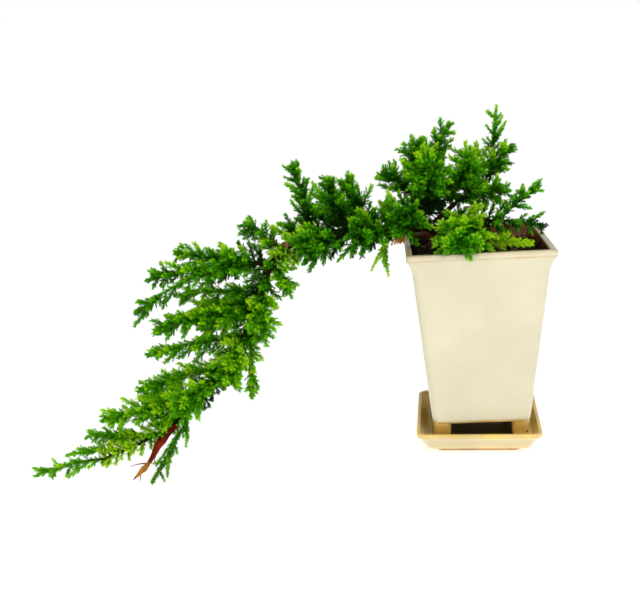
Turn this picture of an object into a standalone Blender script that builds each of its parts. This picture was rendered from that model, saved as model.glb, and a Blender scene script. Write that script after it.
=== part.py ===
"""A cascade juniper bonsai in a tall square glazed pot that stands on its own tray.

Lengths below are millimetres and angles are degrees, and MM turns a length into metres.
+Z is up, the origin is the middle of the tray's flat underside, and the trunk falls away
towards -X and a little towards -Y.
"""

import math
import random

import bmesh
import bpy
from mathutils import Matrix, Vector
from mathutils.geometry import intersect_point_line

MM = 0.001

# No limb runs along this direction, so it sets where each tube's first corner lies
SIDEWAYS = Vector((0.23, -0.95, 0.2))

# Clear space between touching pieces
GAP = 0.3

# Flat facets leave a limb's surface about this far inside its true circle
FACET_SLACK = 0.3

# A bough's foot is moved out of its parent by this much at a time
START_STEP = 0.1

# Corners that fusing leaves closer than this are welded, or the finer one where that tears
WELD = 0.02
FINE_WELD = 0.001

# Tray: a shallow square saucer on a flat square foot
TRAY_RIM_HALF = 58.8
TRAY_HEIGHT = 23.8
TRAY_LIP_HEIGHT = 4.4
TRAY_WALL = 3.6
TRAY_FLOOR_Z = 14.0
TRAY_FLOOR_HALF = 50.0
TRAY_BODY_BOTTOM_Z = 5.5
TRAY_BODY_BOTTOM_HALF = 49.0
TRAY_FOOT_HALF = 40.0
TRAY_CORNER = 9.0

# Pot: a tall tapered square vessel with a flared lip and four corner feet, turned on its tray
POT_TURN = 3.7
POT_RIM_HALF = 66.6
POT_RIM_Z = 199.3
POT_LIP_HEIGHT = 6.4
POT_NECK_HALF = 60.8
POT_NECK_Z = 176.0
POT_BOTTOM_HALF = 45.8
POT_BOTTOM_Z = 30.5
POT_WALL = 6.0
POT_FLOOR = 8.0
POT_LIP_CORNER = 4.0
POT_BODY_CORNER = 6.5
FOOT_WIDTH = 17.0
FOOT_TAPER = 1.2
FOOT_CORNER = 4.0
FOOT_INSET = 0.6
FOOT_SUNK = 2.5

# Soil: fills the pot to a little under its rim, with a low flat crown
SOIL_EDGE_Z = 187.0
SOIL_Z = 189.0
SOIL_SHOULDER = 16.0

# Points on each rounded corner of the pottery, and of the pot's feet
CORNER_POINTS = 4
FOOT_CORNER_POINTS = 3

# Small roundings: at the tray's and the pot's rims, and under their bodies
TRAY_ROUND = 1.2
POT_ROUND = 1.6
INNER_CORNER = 3.0
SOIL_CORNER = 2.8
SOIL_TOP_CORNER = 9.0

# The trunk goes on through its four limbs. Each stretch is (heading, rise, length).
TRUNK_FOOT = (-22.0, 4.0)
TRUNK_STRETCHES = {
    "trunk": [(202, 58, 8), (202, 46, 9), (200, 36, 18), (202, -4, 29)],
    "trunk_arch": [(201, 8, 34), (202, -3, 38), (204, -7, 35)],
    "trunk_fall": [(211, -49, 27), (212, -60, 26), (211, -67, 30), (213, -59, 33)],
    "trunk_tail": [(203, -45, 35), (205, -38, 36), (205, -24, 40), (206, -14, 36)],
}
TRUNK_RADII = {
    "trunk": (7.4, 5.4),
    "trunk_arch": (5.4, 4.3),
    "trunk_fall": (4.3, 2.9),
    "trunk_tail": (2.9, 1.2),
}
ROOT_FLARE = 4.2
ROOT_FLARE_HEIGHT = 11.0
ROOT_RIDGES = 5
ROOT_RIDGE_DEPTH = 0.38
ROOT_RIDGE_TURN = 0.7
ROOT_FLARE_FADE = 1.6

# Points on the trunk's curve for each of its stretches, and straight spans in a bough and a stem
TRUNK_STEPS = 3
BOUGH_SPANS = 5
STEM_SPANS = 8

# Sides of the trunk's foot limb, of its other limbs, of a bough and of a mass's stem
FOOT_LIMB_SIDES = 10
TRUNK_SIDES = 8
BOUGH_SIDES = 6
STEM_SIDES = 3

# Boughs: limb that carries it, place along that limb, heading, rise, length, arch, radii
BOUGHS = {
    "bough_right": ("trunk", 0.50, 14, 33, 62, 0.05, (3.1, 1.7)),
    "bough_centre": ("trunk", 0.74, 40, 70, 38, 0.0, (3.0, 1.8)),
    "bough_back": ("trunk", 0.62, 76, 27, 48, 0.06, (2.6, 1.5)),
    "bough_front": ("trunk", 0.46, -23, 8, 58, 0.05, (2.3, 1.4)),
    "bough_fan": ("trunk_fall", 0.17, 205, 0, 38, 0.10, (2.5, 1.5)),
    "dead_branch": ("trunk_tail", 0.45, 232, -34, 60, 0.0, (3.2, 1.2)),
}

# A short pruned stub is part of the trunk's arch: place, heading, rise, length, radii
STUB = (0.90, 240, 5, 15, (3.6, 3.2))

# Foliage: limb that carries it, place along that limb, heading, rise, reach, spread, arch
MASSES = {
    "crown_top": ("bough_right", 1.00, 15, 84, 70, 12, 0.02),
    "crown_right": ("bough_right", 0.86, 330, 50, 50, 16, 0.05),
    "crown_front": ("bough_right", 0.56, 275, 45, 56, 22, 0.05),
    "crown_back": ("bough_right", 0.80, 100, 35, 44, 24, 0.05),
    "crown_low": ("bough_right", 0.42, 315, 15, 66, 16, 0.05),
    "centre_top": ("bough_centre", 1.00, 350, 65, 56, 14, 0.05),
    "centre_left": ("bough_centre", 0.80, 175, 80, 44, 22, 0.05),
    "centre_low_left": ("bough_centre", 0.50, 190, 40, 44, 18, 0.05),
    "centre_front": ("bough_centre", 0.70, 280, 25, 66, 26, 0.05),
    "centre_front_low": ("trunk", 0.80, 265, 25, 52, 27, 0.05),
    "centre_back": ("bough_back", 0.78, 100, 55, 48, 26, 0.05),
    "back_low": ("bough_back", 1.00, 65, -15, 44, 26, 0.05),
    "back_left": ("trunk", 0.97, 105, 10, 48, 17, 0.05),
    "low_front": ("bough_front", 0.40, 270, -12, 62, 29, 0.08),
    "low_right": ("bough_front", 1.00, 0, 40, 48, 13, 0.05),
    "low_far": ("bough_front", 0.90, 5, -10, 48, 12, 0.05),
    "soil_spray": ("trunk", 0.20, 320, 4, 100, 10, 0.0),
    "arch_right": ("trunk_arch", 0.22, 205, 60, 56, 20, 0.05),
    "arch_top": ("trunk_arch", 0.46, 205, 75, 54, 22, 0.05),
    "arch_left": ("trunk_arch", 0.74, 225, 75, 74, 17, 0.05),
    "arch_end": ("trunk_arch", 0.90, 125, 55, 22, 13, 0.05),
    "arch_front": ("trunk_arch", 0.12, 245, 5, 56, 22, 0.05),
    "arch_front_left": ("trunk_arch", 0.50, 240, -5, 58, 23, 0.05),
    "arch_back": ("trunk_arch", 0.40, 125, 25, 56, 27, 0.05),
    "under_right": ("trunk_arch", 0.08, 260, -60, 32, 10, 0.05),
    "fan_top": ("trunk_fall", 0.04, 195, 40, 42, 14, 0.05),
    "fan_upper": ("bough_fan", 0.72, 185, 15, 54, 14, 0.05),
    "fan_left": ("bough_fan", 1.00, 205, 0, 68, 17, 0.05),
    "fan_low": ("bough_fan", 0.76, 215, -16, 97, 15, 0.09),
    "fan_front": ("bough_fan", 0.20, 240, 10, 52, 17, 0.05),
    "fan_back": ("bough_fan", 0.50, 140, -18, 60, 22, 0.05),
    "middle_upper": ("trunk_fall", 0.42, 205, 5, 76, 15, 0.05),
    "middle_left": ("trunk_fall", 0.56, 210, -2, 92, 18, 0.05),
    "middle_low": ("trunk_fall", 0.80, 210, 0, 88, 15, 0.05),
    "fall_right": ("trunk_fall", 0.16, 310, -45, 32, 17, 0.05),
    "fall_front": ("trunk_fall", 0.34, 275, -45, 58, 21, 0.05),
    "fall_front_low": ("trunk_fall", 0.74, 250, -40, 58, 23, 0.05),
    "hanging_right": ("trunk_fall", 0.64, 275, -65, 70, 13, 0.05),
    "fall_back": ("trunk_fall", 0.50, 155, -20, 72, 29, 0.05),
    "tail_upper": ("trunk_tail", 0.04, 210, -5, 84, 16, 0.05),
    "tail_front": ("trunk_tail", 0.12, 240, -10, 60, 21, 0.05),
    "tail_left": ("trunk_tail", 0.36, 205, 0, 82, 19, 0.05),
    "tail_under": ("trunk_tail", 0.84, 205, 5, 54, 12, 0.05),
    "tail_back": ("trunk_tail", 0.32, 150, -10, 62, 24, 0.05),
    "end_top": ("trunk_tail", 0.68, 200, 10, 56, 15, 0.05),
    "end_tip": ("trunk_tail", 1.00, 200, -6, 60, 12, 0.05),
    "hanging_spray": ("trunk_tail", 0.36, 225, -50, 78, 12, -0.02),
}

# How foliage grows: shoots stand on a mass's stem by turns, and each ends in a spray of needles
SHOOT_SPACING = 10.5
SHOOT_FIRST = 0.08
SHOOT_LAST = 0.88
SHOOT_TURN = 137.5
SHOOT_TURN_STRAY = 20.0
SHOOT_LEANS = (56.0, 42.0, 30.0)

# A shoot's reach as a share of the mass's spread: at the stem's foot, what it loses by its tip,
# and how much one shoot differs from the next
VIGOUR = 1.15
VIGOUR_DROP = 0.55
VIGOUR_STRAY = (0.9, 1.12)

LEADER_LONGEST = 28.0
LEADER_SHARE = 0.55
SPRAY_LONGEST = 28.0
SPRAY_SHORTEST = 10.0
STEM_RADIUS = 1.3
TWIG_RADIUS = 0.9
STEM_END = 0.72
STEM_END_IN_CORE = 0.30

# Foliage keeps this far from the floor, the pot and the next mass
LEAST_Z = 9.0
POT_CLEAR = 1.0
MASS_CLEAR = 0.2

# A spray that finds no room is tried again at this share of its length
SHORTER = 0.85

# A dense mass has a toothed core round its stem, this share of its spread, that its sprays
# stand out of. Every second corner of a ring is a tooth that points forward.
CORE_SHARE = 0.60
CORE_LEAST_SPREAD = 17.0
CORE_RINGS = ((0.07, 0.35), (0.22, 0.85), (0.42, 1.0), (0.62, 0.9), (0.82, 0.55))
CORE_SIDES = 6
CORE_HOLLOW = 0.62
CORE_TOOTH_LENGTH = 3.0
CORE_CLEAR = 1.0
CORE_LEAST_RADIUS = 1.9
CORE_SINK = 4.0
CORE_STEPS = 6
CORE_FOOT = 0.04
CORE_TIP = 0.95

# A spray is a slim core with tiers of three needles that stand out of it and point forward.
# A tier is its share of the spray's length and of its radius. The tip needs a little room too.
SPRAY_RADIUS_LEAST = 2.6
SPRAY_RADIUS_SHARE = 0.13
SPRAY_TIERS = ((0.42, 1.0), (0.74, 0.62))
SPRAY_TIP_ROOM = (1.0, 0.1)
SPRAY_CORE_SHARE = 0.5
SPRAY_CORE_STEP = 0.02
SPRAY_FOOT = 1.2
SPRAY_ROLL = 0.9


def heading_vector(heading, rise):
    """Unit vector at a heading counted from +X and a rise above the level."""
    turn = math.radians(heading)
    climb = math.radians(rise)
    level = math.cos(climb)
    return Vector((math.cos(turn) * level, math.sin(turn) * level, math.sin(climb)))


class Limb:
    """A tapering limb: points along its middle, its radius at either end and how its ends face."""

    def __init__(self, name, points, radii):
        self.name = name
        self.points = points
        self.radii = radii
        self.foot_way = (points[1] - points[0]).normalized()
        self.tip_way = (points[-1] - points[-2]).normalized()
        self.marks = [0.0]
        for a, b in zip(points, points[1:]):
            self.marks.append(self.marks[-1] + (b - a).length)
        self.length = self.marks[-1]

    def radius(self, share):
        return self.radii[0] + (self.radii[1] - self.radii[0]) * share

    def at(self, share):
        """Point and direction at a share of the limb's length."""
        mark = min(max(share, 0.0), 1.0) * self.length
        index = 0
        while index < len(self.points) - 2 and self.marks[index + 1] < mark:
            index += 1
        start = self.points[index]
        end = self.points[index + 1]
        part = (mark - self.marks[index]) / (end - start).length
        return start.lerp(end, part), (end - start).normalized()

    def clearance(self, point):
        """Distance from a point to the limb's surface."""
        best = 1e9
        for index, (a, b) in enumerate(zip(self.points, self.points[1:])):
            part = min(max(intersect_point_line(point, a, b)[1], 0.0), 1.0)
            mark = self.marks[index] + part * (b - a).length
            away = (point - a.lerp(b, part)).length
            best = min(best, away - self.radius(mark / self.length))
        return best


def smooth_points(corners, per_corner):
    """Points on a Catmull-Rom curve through the corners."""
    ends = [corners[0] * 2 - corners[1]] + corners + [corners[-1] * 2 - corners[-2]]
    points = []
    for index in range(len(corners) - 1):
        before, start, end, after = ends[index : index + 4]
        for step in range(per_corner):
            f = step / per_corner
            points.append(
                0.5
                * (
                    2 * start
                    + (end - before) * f
                    + (2 * before - 5 * start + 4 * end - after) * f * f
                    + (3 * start - before - 3 * end + after) * f**3
                )
            )
    points.append(corners[-1])
    return points


def arched_points(start, way, length, arch, count):
    """Points of a stem that rises above its straight line by a share of its length."""
    points = []
    for index in range(count + 1):
        share = index / count
        lift = Vector((0, 0, 4 * arch * length * share * (1 - share)))
        points.append(start + way * length * share + lift)
    return points


def start_clear_of(parent, share, way, radius):
    """Where a limb of this radius starts so that its foot is GAP clear of its parent."""
    point, along = parent.at(share)
    if share >= 1.0:
        return point + way * (GAP + parent.radii[1] * along.cross(way).length)
    across = way.orthogonal().normalized() * radius
    rim = [Matrix.Rotation(math.radians(turn), 3, way) @ across for turn in range(0, 360, 45)]
    spots = [Vector((0, 0, 0))] + rim + [spot / 2 for spot in rim]
    while min(parent.clearance(point + spot) for spot in spots) < GAP - FACET_SLACK:
        point = point + way * START_STEP
    return point


def make_limbs():
    """The trunk's four limbs end to end, then the boughs that leave them."""
    limbs = {}
    point = Vector((TRUNK_FOOT[0], TRUNK_FOOT[1], SOIL_Z + GAP))
    below = None
    for name, stretches in TRUNK_STRETCHES.items():
        corners = [point.copy()]
        for heading, rise, length in stretches:
            point = point + heading_vector(heading, rise) * length
            corners.append(point.copy())
        limb = Limb(name, smooth_points(corners, TRUNK_STEPS), TRUNK_RADII[name])
        if below:
            # Both faces of the joint lie square to the bend, GAP apart
            joint_way = (below.tip_way + limb.foot_way).normalized()
            below.tip_way = joint_way
            limb.foot_way = joint_way
        else:
            limb.foot_way = Vector((0, 0, 1))
        limbs[name] = limb
        below = limb
        point = point + limb.tip_way * GAP
    for name, (parent, share, heading, rise, length, arch, radii) in BOUGHS.items():
        way = heading_vector(heading, rise)
        start = start_clear_of(limbs[parent], share, way, radii[0])
        limbs[name] = Limb(name, arched_points(start, way, length, arch, BOUGH_SPANS), radii)
    share, heading, rise, length, radii = STUB
    root = limbs["trunk_arch"].at(share)[0]
    limbs["stub"] = Limb("stub", [root, root + heading_vector(heading, rise) * length], radii)
    return limbs


class Mass:
    """A mass of foliage: its straight axis, its stem and how far it spreads from them."""

    def __init__(self, name, seed, limbs, plan):
        parent, share, heading, rise, reach, self.spread, arch = plan
        self.name = name
        self.rng = random.Random(seed)
        way = heading_vector(heading, rise)
        self.start = start_clear_of(limbs[parent], share, way, STEM_RADIUS)
        self.end = limbs[parent].at(share)[0] + way * reach
        self.reach = (self.end - self.start).length
        line = arched_points(self.start, way, self.reach, arch, STEM_SPANS)
        self.line = Limb(name, line, (STEM_RADIUS, TWIG_RADIUS))
        self.sideways = way.orthogonal()

    def across(self, along):
        """The mass's own sideways direction, square to its stem there."""
        return (self.sideways - along * self.sideways.dot(along)).normalized()

    def share_of_space(self, point):
        """0 on the axis and 1 at the edge of the mass."""
        axis = self.end - self.start
        part = (point - self.start).dot(axis) / axis.length_squared
        part = min(max(part, 0.0), 1.0)
        return (point - self.start - axis * part).length / self.spread


def pot_room(point):
    """Distance from a point above the soil or outside the pot to the pot and the soil."""
    turned = Matrix.Rotation(math.radians(-POT_TURN), 3, "Z") @ point
    out = max(abs(turned.x), abs(turned.y))
    inside = POT_RIM_HALF - POT_WALL - out
    outside = out - POT_RIM_HALF
    above = point.z - POT_RIM_Z
    if outside > 0:
        return math.hypot(outside, max(above, 0.0))
    if inside < 0:
        return above
    return min(point.z - SOIL_Z, math.hypot(inside, max(above, 0.0)))


def room(point, mass, masses, limbs):
    """Radius of the widest ball at a point of the mass's own space that touches nothing else."""
    widest = min(point.z - LEAST_Z, pot_room(point) - POT_CLEAR)
    for limb in limbs.values():
        widest = min(widest, limb.clearance(point) - GAP)
    own = mass.share_of_space(point)
    for other in masses:
        if other is not mass:
            ahead = other.share_of_space(point) - own
            widest = min(widest, ahead / (1 / mass.spread + 1 / other.spread) - MASS_CLEAR)
    return widest


def spray_radius(length):
    return SPRAY_RADIUS_LEAST + SPRAY_RADIUS_SHARE * length


def longest_spray(foot, way, length, room_at):
    """The longest toothed stretch from here that has room for its needles, or None."""
    while length >= SPRAY_SHORTEST:
        radius = spray_radius(length)
        if all(
            room_at(foot + way * length * share) >= radius * part
            for share, part in (*SPRAY_TIERS, SPRAY_TIP_ROOM)
        ):
            return length
        length *= SHORTER
    return None


def furthest(point, way, reach, room_at):
    """How far the core can go this way and stay clear of all else."""
    for step in range(1, CORE_STEPS + 1):
        if room_at(point + way * (reach * step / CORE_STEPS)) < CORE_CLEAR:
            return max(reach * (step - 1) / CORE_STEPS, CORE_LEAST_RADIUS)
    return reach


def core_rings(mass, room_at):
    """Rings of corners round the stem, each with its share of the stem and its mean radius."""
    rings = []
    if mass.spread < CORE_LEAST_SPREAD:
        return rings
    for index, (share, part) in enumerate(CORE_RINGS):
        point, along = mass.line.at(share)
        across = mass.across(along)
        corners = []
        total = 0.0
        for side in range(CORE_SIDES):
            tooth = (side + index) % 2 == 0
            way = Matrix.Rotation(2 * math.pi * side / CORE_SIDES, 3, along) @ across
            reach = CORE_SHARE * mass.spread * part * (1.0 if tooth else CORE_HOLLOW)
            middle = point + along * (CORE_TOOTH_LENGTH if tooth else 0.0)
            reach = furthest(middle, way, reach, room_at)
            corners.append(middle + way * reach)
            total += reach
        rings.append((share, total / CORE_SIDES, corners))
    return rings


def core_radius(rings, share):
    """The core's mean radius at a share of the stem's length."""
    for (low, low_radius, corners), (high, high_radius, more) in zip(rings, rings[1:]):
        if low <= share <= high:
            return low_radius + (high_radius - low_radius) * (share - low) / (high - low)
    return 0.0


def grow(mass, masses, limbs):
    """The core's rings and the sprays of a mass, each as (root, way, bare stretch, length)."""
    rng = mass.rng

    def room_at(point):
        return room(point, mass, masses, limbs)

    core = core_rings(mass, room_at)
    sprays = []
    leader = min(LEADER_LONGEST, LEADER_SHARE * mass.reach)
    foot = mass.line.at(1 - leader / mass.reach)[0]
    way = (mass.end - foot).normalized()
    length = longest_spray(foot, way, leader, room_at)
    if length:
        sprays.append((foot, way, 0.0, length))
    count = max(3, round(mass.reach / SHOOT_SPACING))
    turn = rng.uniform(0, 360)
    for index in range(count):
        share = SHOOT_FIRST + (SHOOT_LAST - SHOOT_FIRST) * (index + 0.5) / count
        turn += SHOOT_TURN + rng.uniform(-SHOOT_TURN_STRAY, SHOOT_TURN_STRAY)
        vigour = (VIGOUR - VIGOUR_DROP * share) * rng.uniform(*VIGOUR_STRAY)
        reach = mass.spread / math.sin(math.radians(SHOOT_LEANS[0])) * vigour
        root, along = mass.line.at(share)
        side = Matrix.Rotation(math.radians(turn), 3, along) @ mass.across(along)
        for degrees in SHOOT_LEANS:
            lean = math.radians(degrees)
            way = along * math.cos(lean) + side * math.sin(lean)
            sunk = max(0.0, core_radius(core, share) / math.sin(lean) - CORE_SINK)
            bare = max(sunk, reach - SPRAY_LONGEST)
            if room_at(root + way * bare) < SPRAY_FOOT:
                continue
            length = longest_spray(root + way * bare, way, reach - bare, room_at)
            if length:
                sprays.append((root, way, bare, length))
                break
    return core, sprays


def frame_along(way):
    """A rotation that turns +Z to the direction given."""
    return way.to_track_quat("Z", "Y").to_matrix()


def tube_mesh(bm, points, radii, sides, foot_way=None, tip_way=None, flare=None):
    """A closed tube through the points, with a radius at each point, added to bm."""
    ways = []
    for index in range(len(points)):
        before = points[max(index - 1, 0)]
        after = points[min(index + 1, len(points) - 1)]
        ways.append((after - before).normalized())
    if foot_way:
        ways[0] = foot_way
        ways[1] = (ways[0] + ways[1]).normalized()
        ways[2] = (ways[1] + ways[2]).normalized()
    if tip_way:
        ways[-1] = tip_way
    rings = []
    mark = 0.0
    for index, point in enumerate(points):
        mark += (point - points[max(index - 1, 0)]).length
        across = ways[index].cross(SIDEWAYS).normalized()
        other = ways[index].cross(across)
        ring = []
        for side in range(sides):
            angle = 2 * math.pi * side / sides
            reach = radii[index] + (flare(mark, angle) if flare else 0.0)
            offset = (across * math.cos(angle) + other * math.sin(angle)) * reach
            ring.append(bm.verts.new((point + offset) * MM))
        rings.append(ring)
    for low, high in zip(rings, rings[1:]):
        for side in range(sides):
            after = (side + 1) % sides
            bm.faces.new((low[side], low[after], high[after], high[side]))
    bm.faces.new(list(reversed(rings[0])))
    bm.faces.new(rings[-1])


def spray_mesh(bm, base, way, bare, length, roll):
    """A slim core, bare at first, then with tiers of three needles that point forward."""
    turn = frame_along(way) @ Matrix.Rotation(roll, 3, "Z")
    radius = spray_radius(length)
    (low, low_part), (high, high_part) = SPRAY_TIERS
    rings = [(0.0, SPRAY_FOOT, 0)]
    if bare > SPRAY_FOOT:
        rings.append((bare, SPRAY_FOOT, 0))
    rings += [
        (bare + length * low, radius * low_part, 0),
        (bare + length * (low + SPRAY_CORE_STEP), radius * SPRAY_CORE_SHARE, 30),
        (bare + length * high, radius * high_part, 60),
    ]
    loops = []
    for forward, reach, degrees in rings:
        loop = []
        for side in range(3):
            angle = math.radians(degrees + 120 * side)
            spot = Vector((math.cos(angle) * reach, math.sin(angle) * reach, forward))
            loop.append(bm.verts.new((base + turn @ spot) * MM))
        loops.append(loop)
    for low_loop, high_loop in zip(loops, loops[1:]):
        for side in range(3):
            after = (side + 1) % 3
            bm.faces.new((low_loop[side], low_loop[after], high_loop[side]))
            bm.faces.new((low_loop[after], high_loop[after], high_loop[side]))
    tip = bm.verts.new((base + way * (bare + length)) * MM)
    for side in range(3):
        bm.faces.new((loops[-1][side], loops[-1][(side + 1) % 3], tip))
    bm.faces.new(list(reversed(loops[0])))


def rounded_square(half, corner, corner_points):
    """Points of a rounded square, anticlockwise from its +X side."""
    points = []
    for quarter in range(4):
        diagonal = math.radians(45 + 90 * quarter)
        reach = math.sqrt(2) * (half - corner)
        centre = Vector((math.cos(diagonal), math.sin(diagonal))) * reach
        for step in range(corner_points):
            angle = math.radians(90 * quarter + 90 * step / (corner_points - 1))
            points.append(centre + Vector((math.cos(angle), math.sin(angle))) * corner)
    return points


def loft(name, rings, material, turn=0.0, corner_points=CORNER_POINTS):
    """A solid through rounded squares, each as (half width, corner radius, height)."""
    bm = bmesh.new()
    loops = []
    for half, corner, z in rings:
        square = rounded_square(half, corner, corner_points)
        loops.append([bm.verts.new((point.x * MM, point.y * MM, z * MM)) for point in square])
    count = len(loops[0])
    for low, high in zip(loops, loops[1:]):
        for index in range(count):
            after = (index + 1) % count
            bm.faces.new((low[index], low[after], high[after], high[index]))
    bm.faces.new(list(reversed(loops[0])))
    bm.faces.new(loops[-1])
    thing = add_object(name, bm, material)
    thing.rotation_euler.z = math.radians(turn)
    return thing


def add_object(name, bm, material):
    """A new object from a bmesh, with its faces pointing out."""
    bmesh.ops.recalc_face_normals(bm, faces=bm.faces)
    mesh = bpy.data.meshes.new(name)
    bm.to_mesh(mesh)
    bm.free()
    mesh.materials.append(material)
    thing = bpy.data.objects.new(name, mesh)
    bpy.context.scene.collection.objects.link(thing)
    return thing


def make_material(name, colour, roughness):
    material = bpy.data.materials.new(name)
    material.use_nodes = True
    shader = material.node_tree.nodes["Principled BSDF"]
    shader.inputs["Base Color"].default_value = (*colour, 1.0)
    shader.inputs["Roughness"].default_value = roughness
    return material


def union(thing, others):
    """Fuse the others into the thing, remove them and keep the largest closed piece."""
    group = bpy.data.collections.new(thing.name + "_parts")
    bpy.context.scene.collection.children.link(group)
    for other in others:
        bpy.context.scene.collection.objects.unlink(other)
        group.objects.link(other)
    fuse = thing.modifiers.new("fuse", "BOOLEAN")
    fuse.operation = "UNION"
    fuse.operand_type = "COLLECTION"
    fuse.collection = group
    for solver, weld in (("EXACT", WELD), ("EXACT", FINE_WELD), ("MANIFOLD", FINE_WELD)):
        fuse.solver = solver
        depsgraph = bpy.context.evaluated_depsgraph_get()
        fused = bpy.data.meshes.new_from_object(thing.evaluated_get(depsgraph))
        if keep_largest_piece(fused, weld):
            break
    thing.modifiers.clear()
    thing.data = fused
    for other in list(group.objects):
        bpy.data.objects.remove(other)
    bpy.data.collections.remove(group)


def keep_largest_piece(mesh, weld):
    """Weld close corners, drop loose scraps and sealed hollows, and tell if the rest is closed."""
    bm = bmesh.new()
    bm.from_mesh(mesh)
    bmesh.ops.remove_doubles(bm, verts=bm.verts, dist=weld * MM)
    unseen = set(bm.verts)
    pieces = []
    while unseen:
        piece = set()
        edge_of_piece = [unseen.pop()]
        while edge_of_piece:
            vert = edge_of_piece.pop()
            piece.add(vert)
            for edge in vert.link_edges:
                other = edge.other_vert(vert)
                if other in unseen:
                    unseen.remove(other)
                    edge_of_piece.append(other)
        pieces.append(piece)
    pieces.sort(key=len)
    for piece in pieces[:-1]:
        bmesh.ops.delete(bm, geom=list(piece), context="VERTS")
    closed = all(len(edge.link_faces) == 2 for edge in bm.edges)
    bm.to_mesh(mesh)
    bm.free()
    return closed


def make_tray(material):
    lip_z = TRAY_HEIGHT - TRAY_LIP_HEIGHT
    inner_rim = TRAY_RIM_HALF - TRAY_WALL
    return loft(
        "tray",
        [
            (TRAY_FOOT_HALF, 6, 0),
            (TRAY_FOOT_HALF + 0.5, 6, TRAY_BODY_BOTTOM_Z - 0.8),
            (TRAY_BODY_BOTTOM_HALF - TRAY_ROUND, 7, TRAY_BODY_BOTTOM_Z - 0.3),
            (TRAY_BODY_BOTTOM_HALF, 7, TRAY_BODY_BOTTOM_Z + 0.6),
            (TRAY_RIM_HALF - 2.2, TRAY_CORNER, lip_z - 1.4),
            (TRAY_RIM_HALF - 0.4, TRAY_CORNER, lip_z),
            (TRAY_RIM_HALF, TRAY_CORNER, TRAY_HEIGHT - TRAY_ROUND),
            (TRAY_RIM_HALF - 1.1, TRAY_CORNER - 0.5, TRAY_HEIGHT),
            (inner_rim + 0.8, TRAY_CORNER - 2.5, TRAY_HEIGHT - 0.1),
            (inner_rim, TRAY_CORNER - 3, TRAY_HEIGHT - TRAY_ROUND),
            (TRAY_FLOOR_HALF + 1, 6, TRAY_FLOOR_Z + 1.6),
            (TRAY_FLOOR_HALF - 0.6, 5, TRAY_FLOOR_Z),
        ],
        material,
    )


def pot_half(z):
    """Half width of the pot's straight outer wall at a height."""
    slope = (POT_NECK_HALF - POT_BOTTOM_HALF) / (POT_NECK_Z - POT_BOTTOM_Z)
    return POT_BOTTOM_HALF + slope * (z - POT_BOTTOM_Z)


def make_pot(material):
    lip_z = POT_RIM_Z - POT_LIP_HEIGHT
    flare_reach = POT_RIM_HALF - 0.9 - POT_NECK_HALF
    flare_rise = lip_z - POT_NECK_Z
    rings = [
        (POT_BOTTOM_HALF - 1.2, POT_BODY_CORNER - 1, POT_BOTTOM_Z),
        (POT_BOTTOM_HALF, POT_BODY_CORNER, POT_BOTTOM_Z + POT_ROUND),
        (POT_NECK_HALF, POT_BODY_CORNER, POT_NECK_Z),
    ]
    for step in (1, 2, 3):
        angle = math.radians(30 * step)
        rings.append(
            (
                POT_NECK_HALF + flare_reach * (1 - math.cos(angle)),
                POT_BODY_CORNER - step * 0.8,
                POT_NECK_Z + flare_rise * math.sin(angle),
            )
        )
    inner = POT_RIM_HALF - POT_WALL
    rings += [
        (POT_RIM_HALF, POT_LIP_CORNER, lip_z + 1.2),
        (POT_RIM_HALF, POT_LIP_CORNER, POT_RIM_Z - POT_ROUND),
        (POT_RIM_HALF - POT_ROUND, POT_LIP_CORNER, POT_RIM_Z),
        (inner + POT_ROUND, INNER_CORNER, POT_RIM_Z),
        (inner, INNER_CORNER, POT_RIM_Z - POT_ROUND),
        (POT_NECK_HALF - POT_WALL, INNER_CORNER, POT_NECK_Z + 2),
        (pot_half(POT_BOTTOM_Z + POT_FLOOR) - POT_WALL, INNER_CORNER, POT_BOTTOM_Z + POT_FLOOR),
    ]
    pot = loft("pot", rings, material, POT_TURN)
    feet = []
    low_z = TRAY_FLOOR_Z + GAP
    middle = POT_BOTTOM_HALF - FOOT_INSET - FOOT_WIDTH / 2
    turn = Matrix.Rotation(math.radians(POT_TURN), 3, "Z")
    for x, y in ((-1, -1), (1, -1), (1, 1), (-1, 1)):
        foot_rings = [
            (FOOT_WIDTH / 2 - FOOT_TAPER, FOOT_CORNER - FOOT_TAPER, low_z),
            (FOOT_WIDTH / 2, FOOT_CORNER, POT_BOTTOM_Z + FOOT_SUNK),
        ]
        foot = loft("foot", foot_rings, material, POT_TURN, FOOT_CORNER_POINTS)
        foot.location = turn @ Vector((x * middle, y * middle, 0)) * MM
        feet.append(foot)
    bpy.context.view_layer.update()
    union(pot, feet)
    return pot


def make_soil(material):
    """Soil that follows the pot's inner walls, GAP inside them."""
    inner = POT_RIM_HALF - POT_WALL
    low_z = POT_BOTTOM_Z + POT_FLOOR + GAP
    low_half = pot_half(POT_BOTTOM_Z + POT_FLOOR) - POT_WALL - GAP
    neck_half = POT_NECK_HALF - POT_WALL - GAP
    bend_z = POT_NECK_Z + 2
    rise = (SOIL_EDGE_Z - bend_z) / (POT_RIM_Z - POT_ROUND - bend_z)
    edge_half = neck_half + (inner - neck_half - GAP) * rise
    return loft(
        "soil",
        [
            (low_half, SOIL_CORNER, low_z),
            (neck_half, SOIL_CORNER, bend_z),
            (edge_half, SOIL_CORNER, SOIL_EDGE_Z),
            (edge_half - SOIL_SHOULDER, SOIL_TOP_CORNER, SOIL_Z),
        ],
        material,
        POT_TURN,
    )


def root_flare(mark, angle):
    """How far the roots swell the trunk's foot, in ridges round it."""
    fade = max(0.0, 1.0 - mark / ROOT_FLARE_HEIGHT) ** ROOT_FLARE_FADE
    ridge = math.cos(ROOT_RIDGES * angle + ROOT_RIDGE_TURN)
    return ROOT_FLARE * fade * (1 - ROOT_RIDGE_DEPTH * (1 - ridge))


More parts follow.
